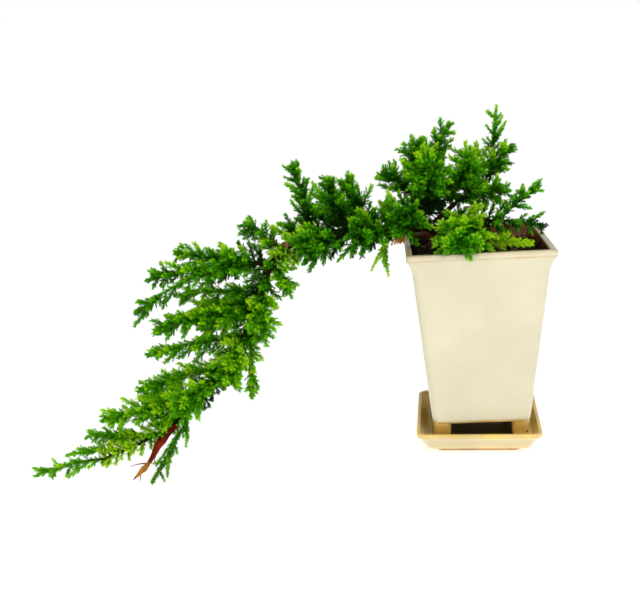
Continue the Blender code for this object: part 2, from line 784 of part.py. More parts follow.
def make_limb_object(limb, material):
    bm = bmesh.new()
    radii = [limb.radius(mark / limb.length) for mark in limb.marks]
    ends = (limb.foot_way, limb.tip_way)
    if limb.name == "trunk":
        tube_mesh(bm, limb.points, radii, FOOT_LIMB_SIDES, *ends, root_flare)
    elif limb.name.startswith("trunk"):
        tube_mesh(bm, limb.points, radii, TRUNK_SIDES, *ends)
    else:
        tube_mesh(bm, limb.points, radii, BOUGH_SIDES)
    return add_object(limb.name, bm, material)


def core_mesh(bm, foot, rings, tip):
    """A closed skin from the stem's foot over the core's rings to its tip, added to bm."""
    loops = [[bm.verts.new(corner * MM) for corner in corners] for share, radius, corners in rings]
    for low, high in zip(loops, loops[1:]):
        for side in range(CORE_SIDES):
            after = (side + 1) % CORE_SIDES
            bm.faces.new((low[side], low[after], high[after]))
            bm.faces.new((low[side], high[after], high[side]))
    for end, loop in ((foot, loops[0]), (tip, loops[-1])):
        point = bm.verts.new(end * MM)
        for side in range(CORE_SIDES):
            bm.faces.new((loop[side], loop[(side + 1) % CORE_SIDES], point))


def make_mass_object(mass, core, sprays, material):
    """One solid: the stem, inside a core where the mass is dense, with all else fused on."""
    stem_end = STEM_END_IN_CORE if core else STEM_END
    points = [mass.line.at(share)[0] for share in (0.0, stem_end / 2, stem_end)]
    bm = bmesh.new()
    tube_mesh(bm, points, (STEM_RADIUS, STEM_RADIUS, TWIG_RADIUS), STEM_SIDES)
    thing = add_object(mass.name, bm, material)
    pieces = []
    for index, (root, way, bare, length) in enumerate(sprays):
        bm = bmesh.new()
        spray_mesh(bm, root, way, bare, length, index * SPRAY_ROLL)
        pieces.append(add_object("spray", bm, material))
    if core:
        bm = bmesh.new()
        core_mesh(bm, mass.line.at(CORE_FOOT)[0], core, mass.line.at(CORE_TIP)[0])
        pieces.append(add_object("core", bm, material))
    union(thing, pieces)
    return thing


def main():
    for thing in list(bpy.data.objects):
        bpy.data.objects.remove(thing)
    glaze = make_material("cream_glaze", (0.80, 0.74, 0.58), 0.22)
    earth = make_material("potting_soil", (0.030, 0.017, 0.010), 0.95)
    bark = make_material("bark", (0.10, 0.050, 0.028), 0.85)
    dead_wood = make_material("dead_wood", (0.22, 0.055, 0.020), 0.7)
    needles = make_material("needles", (0.06, 0.22, 0.02), 0.6)

    make_tray(glaze)
    make_pot(glaze)
    make_soil(earth)
    limbs = make_limbs()
    solids = {}
    for name, limb in limbs.items():
        solids[name] = make_limb_object(limb, dead_wood if name == "dead_branch" else bark)
    union(solids["trunk_arch"], [solids["stub"]])
    masses = [
        Mass(name, seed, limbs, plan) for seed, (name, plan) in enumerate(MASSES.items(), start=1)
    ]
    for mass in masses:
        core, sprays = grow(mass, masses, limbs)
        make_mass_object(mass, core, sprays, needles)


main()
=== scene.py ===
"""Looks of a cascade juniper bonsai in its glazed pot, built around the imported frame.

Growth sizes below are millimetres and degrees, as in the part's source, and MM turns a
length into metres. The limbs and the main sprays grow by the source's own rule. Each spray
is then carried on to side twigs and awl needles, and finer sprays fill the space between.
"""

import sys

import math
import random

import bmesh
import bpy
import numpy as np
from mathutils import Matrix, Vector, noise
from mathutils.geometry import intersect_point_line


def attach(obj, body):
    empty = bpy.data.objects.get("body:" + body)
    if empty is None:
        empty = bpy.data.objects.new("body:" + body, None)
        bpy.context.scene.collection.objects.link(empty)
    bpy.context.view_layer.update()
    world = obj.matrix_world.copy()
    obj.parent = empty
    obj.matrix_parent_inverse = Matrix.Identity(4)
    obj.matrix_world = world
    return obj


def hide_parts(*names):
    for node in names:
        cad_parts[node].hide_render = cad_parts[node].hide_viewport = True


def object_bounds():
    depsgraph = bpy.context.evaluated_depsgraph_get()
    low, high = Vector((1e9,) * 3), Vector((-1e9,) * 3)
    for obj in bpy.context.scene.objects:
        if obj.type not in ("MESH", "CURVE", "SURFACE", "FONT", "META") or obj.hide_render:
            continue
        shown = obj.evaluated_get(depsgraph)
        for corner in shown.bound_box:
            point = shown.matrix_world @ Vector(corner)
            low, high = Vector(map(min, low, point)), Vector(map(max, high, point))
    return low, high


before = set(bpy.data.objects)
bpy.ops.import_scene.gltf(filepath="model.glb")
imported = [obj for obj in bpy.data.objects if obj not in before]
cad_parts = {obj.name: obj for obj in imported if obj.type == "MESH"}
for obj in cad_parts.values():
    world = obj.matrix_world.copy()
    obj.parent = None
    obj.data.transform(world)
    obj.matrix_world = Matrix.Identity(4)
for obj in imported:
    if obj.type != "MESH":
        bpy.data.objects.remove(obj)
cad_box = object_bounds()

MM = 0.001
SIDEWAYS = Vector((0.23, -0.95, 0.2))
GAP = 0.3
FACET_SLACK = 0.3
START_STEP = 0.1

# Camera at the photograph's angle
LENS_MM = 55.38
CAMERA_PLACE = (-0.0252, -0.9151, 0.4036)
CAMERA_YAW = 7.787
CAMERA_PITCH = 16.242
CAMERA_ROLL = -3.486

# Light from the white surroundings, and the floor's own light
SKY_LIGHT = 0.5
FLOOR_GLOW = 0.6

# Tray and pot
TRAY_RIM_HALF = 58.8
TRAY_HEIGHT = 23.8
TRAY_LIP_HEIGHT = 4.4
TRAY_WALL = 3.6
TRAY_FLOOR_Z = 14.0
TRAY_FLOOR_HALF = 50.0
TRAY_BODY_BOTTOM_Z = 5.5
TRAY_BODY_BOTTOM_HALF = 49.0
TRAY_FOOT_HALF = 40.0
TRAY_CORNER = 9.0
POT_TURN = 3.7
POT_RIM_HALF = 66.6
POT_RIM_Z = 199.3
POT_LIP_HEIGHT = 6.4
POT_NECK_HALF = 60.8
POT_NECK_Z = 176.0
POT_BOTTOM_HALF = 45.8
POT_BOTTOM_Z = 30.5
POT_WALL = 6.0
POT_FLOOR = 8.0
POT_LIP_CORNER = 4.0
POT_BODY_CORNER = 6.5
POT_FOOT_WIDTH = 17.0
POT_FOOT_TAPER = 1.2
POT_FOOT_CORNER = 4.0
POT_FOOT_INSET = 0.6
SOIL_EDGE_Z = 187.0
SOIL_Z = 189.0
SOIL_SHOULDER = 16.0

# Trunk, boughs and masses of foliage, as in the part's source
TRUNK_FOOT = (-22.0, 4.0)
TRUNK_STRETCHES = {
    "trunk": [(202, 58, 8), (202, 46, 9), (200, 36, 18), (202, -4, 29)],
    "trunk_arch": [(201, 8, 34), (202, -3, 38), (204, -7, 35)],
    "trunk_fall": [(211, -49, 27), (212, -60, 26), (211, -67, 30), (213, -59, 33)],
    "trunk_tail": [(203, -45, 35), (205, -38, 36), (205, -24, 40), (206, -14, 36)],
}
TRUNK_RADII = {
    "trunk": (7.4, 5.4),
    "trunk_arch": (5.4, 4.3),
    "trunk_fall": (4.3, 2.9),
    "trunk_tail": (2.9, 1.2),
}
ROOT_FLARE = 4.2
ROOT_FLARE_HEIGHT = 11.0
ROOT_RIDGES = 5
BOUGH_SPANS = 5
BOUGHS = {
    "bough_right": ("trunk", 0.50, 14, 33, 62, 0.05, (3.1, 1.7)),
    "bough_centre": ("trunk", 0.74, 40, 70, 38, 0.0, (3.0, 1.8)),
    "bough_back": ("trunk", 0.62, 76, 27, 48, 0.06, (2.6, 1.5)),
    "bough_front": ("trunk", 0.46, -23, 8, 58, 0.05, (2.3, 1.4)),
    "bough_fan": ("trunk_fall", 0.17, 205, 0, 38, 0.10, (2.5, 1.5)),
    "dead_branch": ("trunk_tail", 0.45, 232, -34, 60, 0.0, (3.2, 1.2)),
}
STUB = (0.90, 240, 5, 15, (3.6, 3.2))
MASSES = {
    "crown_top": ("bough_right", 1.00, 15, 84, 70, 12, 0.02),
    "crown_right": ("bough_right", 0.86, 330, 50, 50, 16, 0.05),
    "crown_front": ("bough_right", 0.56, 275, 45, 56, 22, 0.05),
    "crown_back": ("bough_right", 0.80, 100, 35, 44, 24, 0.05),
    "crown_low": ("bough_right", 0.42, 315, 15, 66, 16, 0.05),
    "centre_top": ("bough_centre", 1.00, 350, 65, 56, 14, 0.05),
    "centre_left": ("bough_centre", 0.80, 175, 80, 44, 22, 0.05),
    "centre_low_left": ("bough_centre", 0.50, 190, 40, 44, 18, 0.05),
    "centre_front": ("bough_centre", 0.70, 280, 25, 66, 26, 0.05),
    "centre_front_low": ("trunk", 0.80, 265, 25, 52, 27, 0.05),
    "centre_back": ("bough_back", 0.78, 100, 55, 48, 26, 0.05),
    "back_low": ("bough_back", 1.00, 65, -15, 44, 26, 0.05),
    "back_left": ("trunk", 0.97, 105, 10, 48, 17, 0.05),
    "low_front": ("bough_front", 0.40, 270, -12, 62, 29, 0.08),
    "low_right": ("bough_front", 1.00, 0, 40, 48, 13, 0.05),
    "low_far": ("bough_front", 0.90, 5, -10, 48, 12, 0.05),
    "soil_spray": ("trunk", 0.20, 320, 4, 100, 10, 0.0),
    "arch_right": ("trunk_arch", 0.22, 205, 60, 56, 20, 0.05),
    "arch_top": ("trunk_arch", 0.46, 205, 75, 54, 22, 0.05),
    "arch_left": ("trunk_arch", 0.74, 225, 75, 74, 17, 0.05),
    "arch_end": ("trunk_arch", 0.90, 125, 55, 22, 13, 0.05),
    "arch_front": ("trunk_arch", 0.12, 245, 5, 56, 22, 0.05),
    "arch_front_left": ("trunk_arch", 0.50, 240, -5, 58, 23, 0.05),
    "arch_back": ("trunk_arch", 0.40, 125, 25, 56, 27, 0.05),
    "under_right": ("trunk_arch", 0.08, 260, -60, 32, 10, 0.05),
    "fan_top": ("trunk_fall", 0.04, 195, 40, 42, 14, 0.05),
    "fan_upper": ("bough_fan", 0.72, 185, 15, 54, 14, 0.05),
    "fan_left": ("bough_fan", 1.00, 205, 0, 68, 17, 0.05),
    "fan_low": ("bough_fan", 0.76, 215, -16, 97, 15, 0.09),
    "fan_front": ("bough_fan", 0.20, 240, 10, 52, 17, 0.05),
    "fan_back": ("bough_fan", 0.50, 140, -18, 60, 22, 0.05),
    "middle_upper": ("trunk_fall", 0.42, 205, 5, 76, 15, 0.05),
    "middle_left": ("trunk_fall", 0.56, 210, -2, 92, 18, 0.05),
    "middle_low": ("trunk_fall", 0.80, 210, 0, 88, 15, 0.05),
    "fall_right": ("trunk_fall", 0.16, 310, -45, 32, 17, 0.05),
    "fall_front": ("trunk_fall", 0.34, 275, -45, 58, 21, 0.05),
    "fall_front_low": ("trunk_fall", 0.74, 250, -40, 58, 23, 0.05),
    "hanging_right": ("trunk_fall", 0.64, 275, -65, 70, 13, 0.05),
    "fall_back": ("trunk_fall", 0.50, 155, -20, 72, 29, 0.05),
    "tail_upper": ("trunk_tail", 0.04, 210, -5, 84, 16, 0.05),
    "tail_front": ("trunk_tail", 0.12, 240, -10, 60, 21, 0.05),
    "tail_left": ("trunk_tail", 0.36, 205, 0, 82, 19, 0.05),
    "tail_under": ("trunk_tail", 0.84, 205, 5, 54, 12, 0.05),
    "tail_back": ("trunk_tail", 0.32, 150, -10, 62, 24, 0.05),
    "end_top": ("trunk_tail", 0.68, 200, 10, 56, 15, 0.05),
    "end_tip": ("trunk_tail", 1.00, 200, -6, 60, 12, 0.05),
    "hanging_spray": ("trunk_tail", 0.36, 225, -50, 78, 12, -0.02),
}

# The source's rule for shoots
SHOOT_SPACING = 10.5
SHOOT_FIRST = 0.08
SHOOT_LAST = 0.88
SHOOT_TURN = 137.5
SHOOT_TURN_STRAY = 20.0
SHOOT_LEANS = (56.0, 42.0, 30.0)
VIGOUR = 1.15
VIGOUR_DROP = 0.55
VIGOUR_STRAY = (0.9, 1.12)
LEADER_LONGEST = 28.0
LEADER_SHARE = 0.55
SPRAY_LONGEST = 28.0
SPRAY_SHORTEST = 10.0
SPRAY_RADIUS_LEAST = 2.6
SPRAY_RADIUS_SHARE = 0.13
SPRAY_TIERS = ((0.42, 1.0), (0.74, 0.62), (1.0, 0.1))
SPRAY_FOOT = 1.2
STEM_RADIUS = 1.3
TWIG_RADIUS = 0.9
LEAST_Z = 9.0
CORE_SHARE = 0.60
CORE_LEAST_SPREAD = 17.0
CORE_RINGS = ((0.07, 0.35), (0.22, 0.85), (0.42, 1.0), (0.62, 0.9), (0.82, 0.55))
CORE_SIDES = 6
CORE_HOLLOW = 0.62
CORE_TOOTH_LENGTH = 3.0
CORE_CLEAR = 1.0
CORE_LEAST_RADIUS = 1.9
CORE_SINK = 4.0

# Finer growth: sprays between the source's own, side twigs on each spray, and needles in threes
FILL_SEED = 4100
FILL_DENSITY = 0.024
FILL_LEANS = (26.0, 66.0)
FILL_OUT = (0.45, 1.0)
FILL_LEAST = 9.0
COVER_SEED = 5200
COVER_SPACING = 1.7
COVER_LEANS = (48.0, 80.0)
COVER_LENGTHS = (12.0, 22.0)
COVER_UNDER_LENGTHS = (6.0, 10.0)
COVERED = {
    "trunk_arch": ("arch_top", -1.0),
    "trunk_fall": ("fall_front", -1.0),
    "trunk_tail": ("tail_front", 0.15),
    "bough_fan": ("fan_front", 0.0),
    "bough_centre": ("centre_front", -1.0),
    "bough_back": ("centre_back", -1.0),
    "bough_front": ("low_front", -1.0),
}

# Single sprays that show in the outline: mass, share of its stem, heading, rise, length, extra light
SINGLE_SPRAYS = (
    ("hanging_spray", 0.25, 210, -46, 36, 0.1),
    ("hanging_spray", 0.40, 200, -54, 42, 0.0),
    ("hanging_spray", 0.05, 233, -80, 26, 0.0),
    ("under_right", 0.20, 209, -57, 30, 0.0),
    ("under_right", 0.40, 254, -68, 18, 0.0),
    ("under_right", 0.50, 288, -75, 24, 0.0),
    ("arch_front_left", 0.30, 200, -60, 33, 0.0),
    ("arch_front", 0.50, 195, -42, 36, 0.0),
    ("arch_front_left", 0.10, 170, -69, 27, 0.0),
    ("low_front", 0.50, 196, -37, 34, 0.0),
    ("low_front", 0.30, 193, -21, 28, -0.04),
    ("low_front", 0.60, 208, -50, 30, 0.0),
    ("low_front", 0.70, 320, -54, 28, 0.1),
    ("low_front", 0.40, 344, -36, 34, 0.12),
    ("low_front", 0.20, 197, 9, 21, -0.06),
    ("low_front", 0.30, 345, -16, 32, 0.15),
    ("crown_top", 0.45, 342, 61, 25, 0.0),
    ("crown_top", 0.20, 337, 58, 27, 0.0),
    ("low_far", 0.60, 7, 29, 18, -0.1),
    ("low_right", 0.50, 0, 71, 13, 0.0),
    ("low_right", 0.35, 0, 73, 15, 0.0),
    ("middle_left", 0.50, 188, -18, 46, 0.0),
    ("middle_low", 0.40, 195, -31, 26, 0.0),
    ("middle_low", 0.30, 199, -46, 24, 0.0),
    ("crown_low", 0.60, 325, -36, 16, 0.05),
    ("tail_front", 0.50, 285, -66, 24, 0.0),
    ("fan_low", 0.70, 192, -46, 36, 0.0),
    ("centre_left", 0.30, 189, 57, 24, 0.05),
)

# Masses whose sprays are narrower than the rest, and the one that lies flat like a comb
SLENDER = {
    "crown_top": 0.5,
    "hanging_spray": 0.45,
    "under_right": 0.5,
    "arch_left": 0.7,
    "end_tip": 0.8,
    "fan_left": 0.85,
    "fan_low": 0.85,
    "low_right": 0.75,
    "low_far": 0.75,
}
COMB_MASS = "soil_spray"
COMB_SPACING = 2.6
COMB_LONGEST = 10.5

PLUME_LONGEST = 46.0
PLUME_BOW = 0.14
PLUME_POINTS = 6
SIDE_SPACING = 1.3
SIDE_LONGEST = 7.2
SIDE_LEANS = (48.0, 26.0)
NEEDLE_LENGTH = 3.0
NEEDLE_WIDTH = 1.0
NEEDLE_LEANS = (46.0, 22.0)
WHORL_SPACING = 1.02
NEEDLE_SEED = 77
SPRIG_SEED = 12
SPRIG_COUNT = 34
SPRIG_LENGTHS = (9.0, 17.0)

# The dead branch: how far it winds, its radius along it and where its pale end starts
DEAD_BEND = 2.6
DEAD_RADII = ((0, 3.0), (0.25, 4.9), (0.5, 3.6), (0.66, 2.4), (0.8, 3.6), (0.92, 1.6), (1, 0.3))
DEAD_TIP_SHARE = 0.66

# How much brighter a side twig is at its tip than at its foot, partly as paler new growth and partly as painted shade
# at its foot
TIP_GLOW = 0.3

# Parts of the plant that share their pieces, by how the masses' names start
REGIONS = {
    "crown": ("crown_", "centre_", "back_"),
    "low": ("low_", "soil_"),
    "arch": ("arch_", "under_"),
    "fan": ("fan_",),
    "fall": ("middle_", "fall_", "hanging_right"),
    "tail": ("tail_", "end_", "hanging_spray"),
}

# How bright each group of masses is, partly the greens' own tone and partly painted light where a group sits in shade,
# as the soil spray under the crown, and the shades that brightness picks from
GROUP_LIGHT = {
    "crown_": 0.07,
    "centre_": -0.02,
    "back_": -0.04,
    "low_front": 0.18,
    "low_right": 0.02,
    "low_far": 0.0,
    "low_": 0.14,
    # Painted light: the soil spray sits in the crown's shade and is coloured bright yellow-green.
    "soil_": 0.90,
    "arch_": -0.02,
    "under_": 0.52,
    "fan_": 0.06,
    "middle_": 0.13,
    "fall_front": 0.23,
    "fall_": 0.21,
    "hanging_right": 0.36,
    "hanging_": 0.14,
    "tail_": 0.21,
    "end_": 0.21,
}
SHADES = (
    ("shade", 0.18, (26, 78, 0), (10, 66, 10)),
    ("deep", 0.36, (56, 136, 0), (26, 122, 22)),
    ("mid", 0.58, (94, 188, 4), (58, 168, 34)),
    ("fresh", 0.80, (138, 222, 14), (120, 216, 40)),
    ("gold", 9.9, (204, 250, 32), (190, 246, 38)),
)

# How far the greens of each part of the plant go from the first colour to the cooler one
COOLNESS = {"crown": 0.2, "low": 0.5, "arch": 0.2, "fan": 0.2, "fall": 0.1, "tail": 0.1}


def linear(red, green, blue):
    """A screen colour of 0 to 255 as the linear values that shaders take."""
    values = []
    for value in (red, green, blue):
        part = value / 255
        values.append(part / 12.92 if part <= 0.04045 else ((part + 0.055) / 1.055) ** 2.4)
    return tuple(values)


def heading_vector(heading, rise):
    """Unit vector at a heading counted from +X and a rise above the level."""
    turn = math.radians(heading)
    climb = math.radians(rise)
    level = math.cos(climb)
    return Vector((math.cos(turn) * level, math.sin(turn) * level, math.sin(climb)))


class Limb:
    """A tapering limb: points along its middle and its radius at either end."""

    def __init__(self, points, radii, corners=None):
        self.points = points
        self.radii = radii
        self.corners = corners or points
        self.tip_way = (points[-1] - points[-2]).normalized()
        self.marks = [0.0]
        for a, b in zip(points, points[1:]):
            self.marks.append(self.marks[-1] + (b - a).length)
        self.length = self.marks[-1]

    def radius(self, share):
        return self.radii[0] + (self.radii[1] - self.radii[0]) * share

    def at(self, share):
        """Point and direction at a share of the limb's length."""
        mark = min(max(share, 0.0), 1.0) * self.length
        index = 0
        while index < len(self.points) - 2 and self.marks[index + 1] < mark:
            index += 1
        start = self.points[index]
        end = self.points[index + 1]
        part = (mark - self.marks[index]) / (end - start).length
        return start.lerp(end, part), (end - start).normalized()

    def clearance(self, point):
        """Distance from a point to the limb's surface."""
        best = 1e9
        for index, (a, b) in enumerate(zip(self.points, self.points[1:])):
            part = intersect_point_line(point, a, b)[1]
            part = min(max(part, 0.0), 1.0)
            mark = self.marks[index] + part * (b - a).length
            away = (point - a.lerp(b, part)).length
            best = min(best, away - self.radius(mark / self.length))
        return best


def smooth_points(corners, per_corner):
    """Points on a Catmull-Rom curve through the corners."""
    ends = [corners[0] * 2 - corners[1]] + corners + [corners[-1] * 2 - corners[-2]]
    points = []
    for index in range(len(corners) - 1):
        before, start, end, after = ends[index : index + 4]
        for step in range(per_corner):
            f = step / per_corner
            points.append(
                0.5
                * (
                    2 * start
                    + (end - before) * f
                    + (2 * before - 5 * start + 4 * end - after) * f * f
                    + (3 * start - before - 3 * end + after) * f**3
                )
            )
    points.append(corners[-1])
    return points


def arched_points(start, way, length, arch, count):
    """Points of a stem that rises above its straight line by a share of its length."""
    points = []
    for index in range(count + 1):
        share = index / count
        lift = Vector((0, 0, 4 * arch * length * share * (1 - share)))
        points.append(start + way * length * share + lift)
    return points


def start_clear_of(parent, share, way, radius):
    """Where a limb of this radius starts so that its foot is clear of its parent."""
    point, along = parent.at(share)
    if share >= 1.0:
        return point + way * (GAP + parent.radii[1] * along.cross(way).length)
    across = way.orthogonal().normalized() * radius
    rim = [Matrix.Rotation(math.radians(turn), 3, way) @ across for turn in range(0, 360, 45)]
    spots = [Vector((0, 0, 0))] + rim + [spot / 2 for spot in rim]
    while min(parent.clearance(point + spot) for spot in spots) < GAP - FACET_SLACK:
        point = point + way * START_STEP
    return point


def make_limbs():
    """The trunk's four limbs end to end, then the boughs that leave them."""
    limbs = {}
    point = Vector((TRUNK_FOOT[0], TRUNK_FOOT[1], SOIL_Z + GAP))
    for name, stretches in TRUNK_STRETCHES.items():
        corners = [point.copy()]
        for heading, rise, length in stretches:
            point = point + heading_vector(heading, rise) * length
            corners.append(point.copy())
        limbs[name] = Limb(smooth_points(corners, 3), TRUNK_RADII[name], corners)
        if name != "trunk":
            before = limbs[previous]
            before.tip_way = (before.tip_way + (limbs[name].points[1] - corners[0]).normalized()).normalized()
        previous = name
        point = point + limbs[name].tip_way * GAP
    for name, (parent, share, heading, rise, length, arch, radii) in BOUGHS.items():
        way = heading_vector(heading, rise)
        start = start_clear_of(limbs[parent], share, way, radii[0])
        limbs[name] = Limb(arched_points(start, way, length, arch, BOUGH_SPANS), radii)
    share, heading, rise, length, radii = STUB
    root = limbs["trunk_arch"].at(share)[0]
    limbs["stub"] = Limb([root, root + heading_vector(heading, rise) * length], radii)
    return limbs


class Mass:
    """A mass of foliage: its straight axis, its stem and how far it spreads from them."""

    def __init__(self, name, seed, limbs, plan):
        parent, share, heading, rise, reach, self.spread, arch = plan
        self.name = name
        self.seed = seed
        way = heading_vector(heading, rise)
        self.start = start_clear_of(limbs[parent], share, way, STEM_RADIUS)
        self.root = limbs[parent].at(share)[0]
        self.end = self.root + way * reach
        self.reach = (self.end - self.start).length
        self.line = Limb(
            arched_points(self.start, way, self.reach, arch, 8), (STEM_RADIUS, TWIG_RADIUS)
        )
        self.sideways = way.orthogonal()

    def across(self, along):
        """The mass's own sideways direction, square to its stem there."""
        return (self.sideways - along * self.sideways.dot(along)).normalized()

    def share_of_space(self, point):
        """0 on the axis and 1 at the edge of the mass."""
        axis = self.end - self.start
        part = (point - self.start).dot(axis) / axis.length_squared
        part = min(max(part, 0.0), 1.0)
        return (point - self.start - axis * part).length / self.spread


def pot_room(point):
    """Distance from a point above the soil or outside the pot to the pot and the soil."""
    turned = Matrix.Rotation(math.radians(-POT_TURN), 3, "Z") @ point
    out = max(abs(turned.x), abs(turned.y))
    inside = POT_RIM_HALF - POT_WALL - out
    outside = out - POT_RIM_HALF
    above = point.z - POT_RIM_Z
    if outside > 0:
        return math.hypot(outside, max(above, 0.0))
    if inside < 0:
        return above
    return min(point.z - SOIL_Z, math.hypot(inside, max(above, 0.0)))


def room(point, mass, masses, limbs):
    """Radius of the widest ball at a point of the mass's own space that touches nothing else."""
    widest = min(point.z - LEAST_Z, pot_room(point) - 1.0)
    for limb in limbs.values():
        widest = min(widest, limb.clearance(point) - GAP)
    own = mass.share_of_space(point)
    for other in masses:
        if other is not mass:
            ahead = other.share_of_space(point) - own
            widest = min(widest, ahead / (1 / mass.spread + 1 / other.spread) - 0.2)
    return widest


def longest_spray(foot, way, length, room_at):
    """The longest spray from here that has room for its needles, or None."""
    while length >= SPRAY_SHORTEST:
        radius = SPRAY_RADIUS_LEAST + SPRAY_RADIUS_SHARE * length
        if all(
            room_at(foot + way * length * share) >= radius * part for share, part in SPRAY_TIERS
        ):
            return length
        length *= 0.85
    return None


def furthest(point, way, reach, room_at):
    """How far the source's core goes this way."""
    steps = 6
    for step in range(1, steps + 1):
        if room_at(point + way * (reach * step / steps)) < CORE_CLEAR:
            return max(reach * (step - 1) / steps, CORE_LEAST_RADIUS)
    return reach


def core_radii(mass, room_at):
    """Shares of the stem and the mean radius of the source's core there."""
    rings = []
    if mass.spread < CORE_LEAST_SPREAD:
        return rings
    for index, (share, part) in enumerate(CORE_RINGS):
        point, along = mass.line.at(share)
        across = mass.across(along)
        total = 0.0
        for side in range(CORE_SIDES):
            tooth = (side + index) % 2 == 0
            way = Matrix.Rotation(2 * math.pi * side / CORE_SIDES, 3, along) @ across
            reach = CORE_SHARE * mass.spread * part * (1.0 if tooth else CORE_HOLLOW)
            middle = point + along * (CORE_TOOTH_LENGTH if tooth else 0.0)
            total += furthest(middle, way, reach, room_at)
        rings.append((share, total / CORE_SIDES))
    return rings


def core_radius(rings, share):
    for (low, low_radius), (high, high_radius) in zip(rings, rings[1:]):
        if low <= share <= high:
            return low_radius + (high_radius - low_radius) * (share - low) / (high - low)
    return 0.0


def grow(mass, masses, limbs):
    """The source's own shoots, each as (root, way, whole length)."""
    rng = random.Random(mass.seed)

    def room_at(point):
        return room(point, mass, masses, limbs)

    core = core_radii(mass, room_at)
    shoots = []
    leader = min(LEADER_LONGEST, LEADER_SHARE * mass.reach)
    foot = mass.line.at(1 - leader / mass.reach)[0]
    way = (mass.end - foot).normalized()
    length = longest_spray(foot, way, leader, room_at)
    if length:
        shoots.append((foot, way, length))
    count = max(3, round(mass.reach / SHOOT_SPACING))
    turn = rng.uniform(0, 360)
    for index in range(count):
        share = SHOOT_FIRST + (SHOOT_LAST - SHOOT_FIRST) * (index + 0.5) / count
        turn += SHOOT_TURN + rng.uniform(-SHOOT_TURN_STRAY, SHOOT_TURN_STRAY)
        vigour = (VIGOUR - VIGOUR_DROP * share) * rng.uniform(*VIGOUR_STRAY)
        reach = mass.spread / math.sin(math.radians(SHOOT_LEANS[0])) * vigour
        root, along = mass.line.at(share)
        side = Matrix.Rotation(math.radians(turn), 3, along) @ mass.across(along)
        for degrees in SHOOT_LEANS:
            lean = math.radians(degrees)
            way = along * math.cos(lean) + side * math.sin(lean)
            sunk = max(0.0, core_radius(core, share) / math.sin(lean) - CORE_SINK)
            bare = max(sunk, reach - SPRAY_LONGEST)
            if room_at(root + way * bare) < SPRAY_FOOT:
                continue
            length = longest_spray(root + way * bare, way, reach - bare, room_at)
            if length:
                shoots.append((root, way, bare + length))
                break
    return shoots


def fill(mass, masses, limbs):
    """Finer shoots between the source's own, inside the same space."""
    rng = random.Random(FILL_SEED + mass.seed)
    shoots = []
    count = round(mass.reach * mass.spread * FILL_DENSITY)
    turn = rng.uniform(0, 360)
    for index in range(count):
        share = 0.04 + 0.88 * (index + rng.random()) / count
        turn += SHOOT_TURN + rng.uniform(-30, 30)
        lean = math.radians(rng.uniform(*FILL_LEANS))
        out = rng.uniform(*FILL_OUT)
        root, along = mass.line.at(share)
        side = Matrix.Rotation(math.radians(turn), 3, along) @ mass.across(along)
        way = along * math.cos(lean) + side * math.sin(lean)
        length = mass.spread * out * (VIGOUR - VIGOUR_DROP * share) / math.sin(lean)
        beyond = (1 - share) * mass.reach / math.cos(lean)
        length = min(length, max(beyond, FILL_LEAST))
        while length >= FILL_LEAST:
            if room(root + way * length, mass, masses, limbs) > 1.0:
                if room(root + way * length * 0.6, mass, masses, limbs) > 0.5:
                    shoots.append((root, way, length))
                    break
            length *= 0.8
    return shoots


def cover(limb, limbs, rng, least_lift):
    """Short sprays that stand on a limb itself, between its masses, shorter still where they hang."""
    shoots = []
    count = round(limb.length / COVER_SPACING)
    turn = rng.uniform(0, 360)
    for index in range(count):
        share = (index + rng.random()) / count
        turn += SHOOT_TURN + rng.uniform(-30, 30)
        root, along = limb.at(share)
        sideways = along.cross(SIDEWAYS).normalized()
        side = Matrix.Rotation(math.radians(turn), 3, along) @ sideways
        lean = math.radians(rng.uniform(*COVER_LEANS))
        way = along * math.cos(lean) + side * math.sin(lean)
        lengths = COVER_LENGTHS if side.z > least_lift else COVER_UNDER_LENGTHS
        length = rng.uniform(*lengths) + limb.radius(share)
        tip = root + way * length
        others = [other.clearance(tip) for other in limbs.values()]
        if min(others) > 1.0 and pot_room(tip) > 3.0 and tip.z > LEAST_Z:
            shoots.append((root, way, length))
    return shoots


def unit(vectors):
    """The same vectors at a length of one."""
    return vectors / np.maximum(np.linalg.norm(vectors, axis=-1, keepdims=True), 1e-9)


def square_frame(ways):
    """Two directions square to each way and to each other."""
    helper = np.where(np.abs(ways[..., 2:3]) > 0.9, np.array([1.0, 0, 0]), np.array([0, 0, 1.0]))
    across = unit(np.cross(ways, helper))
    return across, np.cross(ways, across)


def mesh_object(name, verts, faces, material, smooth=False):
    """An object from millimetre corners and triangles, riding on the one body."""
    mesh = bpy.data.meshes.new(name)
    mesh.vertices.add(len(verts))
    mesh.vertices.foreach_set("co", (np.asarray(verts) * MM).astype(np.float32).ravel())
    mesh.loops.add(len(faces) * 3)
    mesh.loops.foreach_set("vertex_index", np.asarray(faces, np.int32).ravel())
    mesh.polygons.add(len(faces))
    mesh.polygons.foreach_set("loop_start", np.arange(0, len(faces) * 3, 3, dtype=np.int32))
    mesh.polygons.foreach_set("use_smooth", np.full(len(faces), smooth))
    mesh.update(calc_edges=True)
    mesh.materials.append(material)
    thing = bpy.data.objects.new(name, mesh)
    bpy.context.scene.collection.objects.link(thing)
    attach(thing, "root")
    return thing


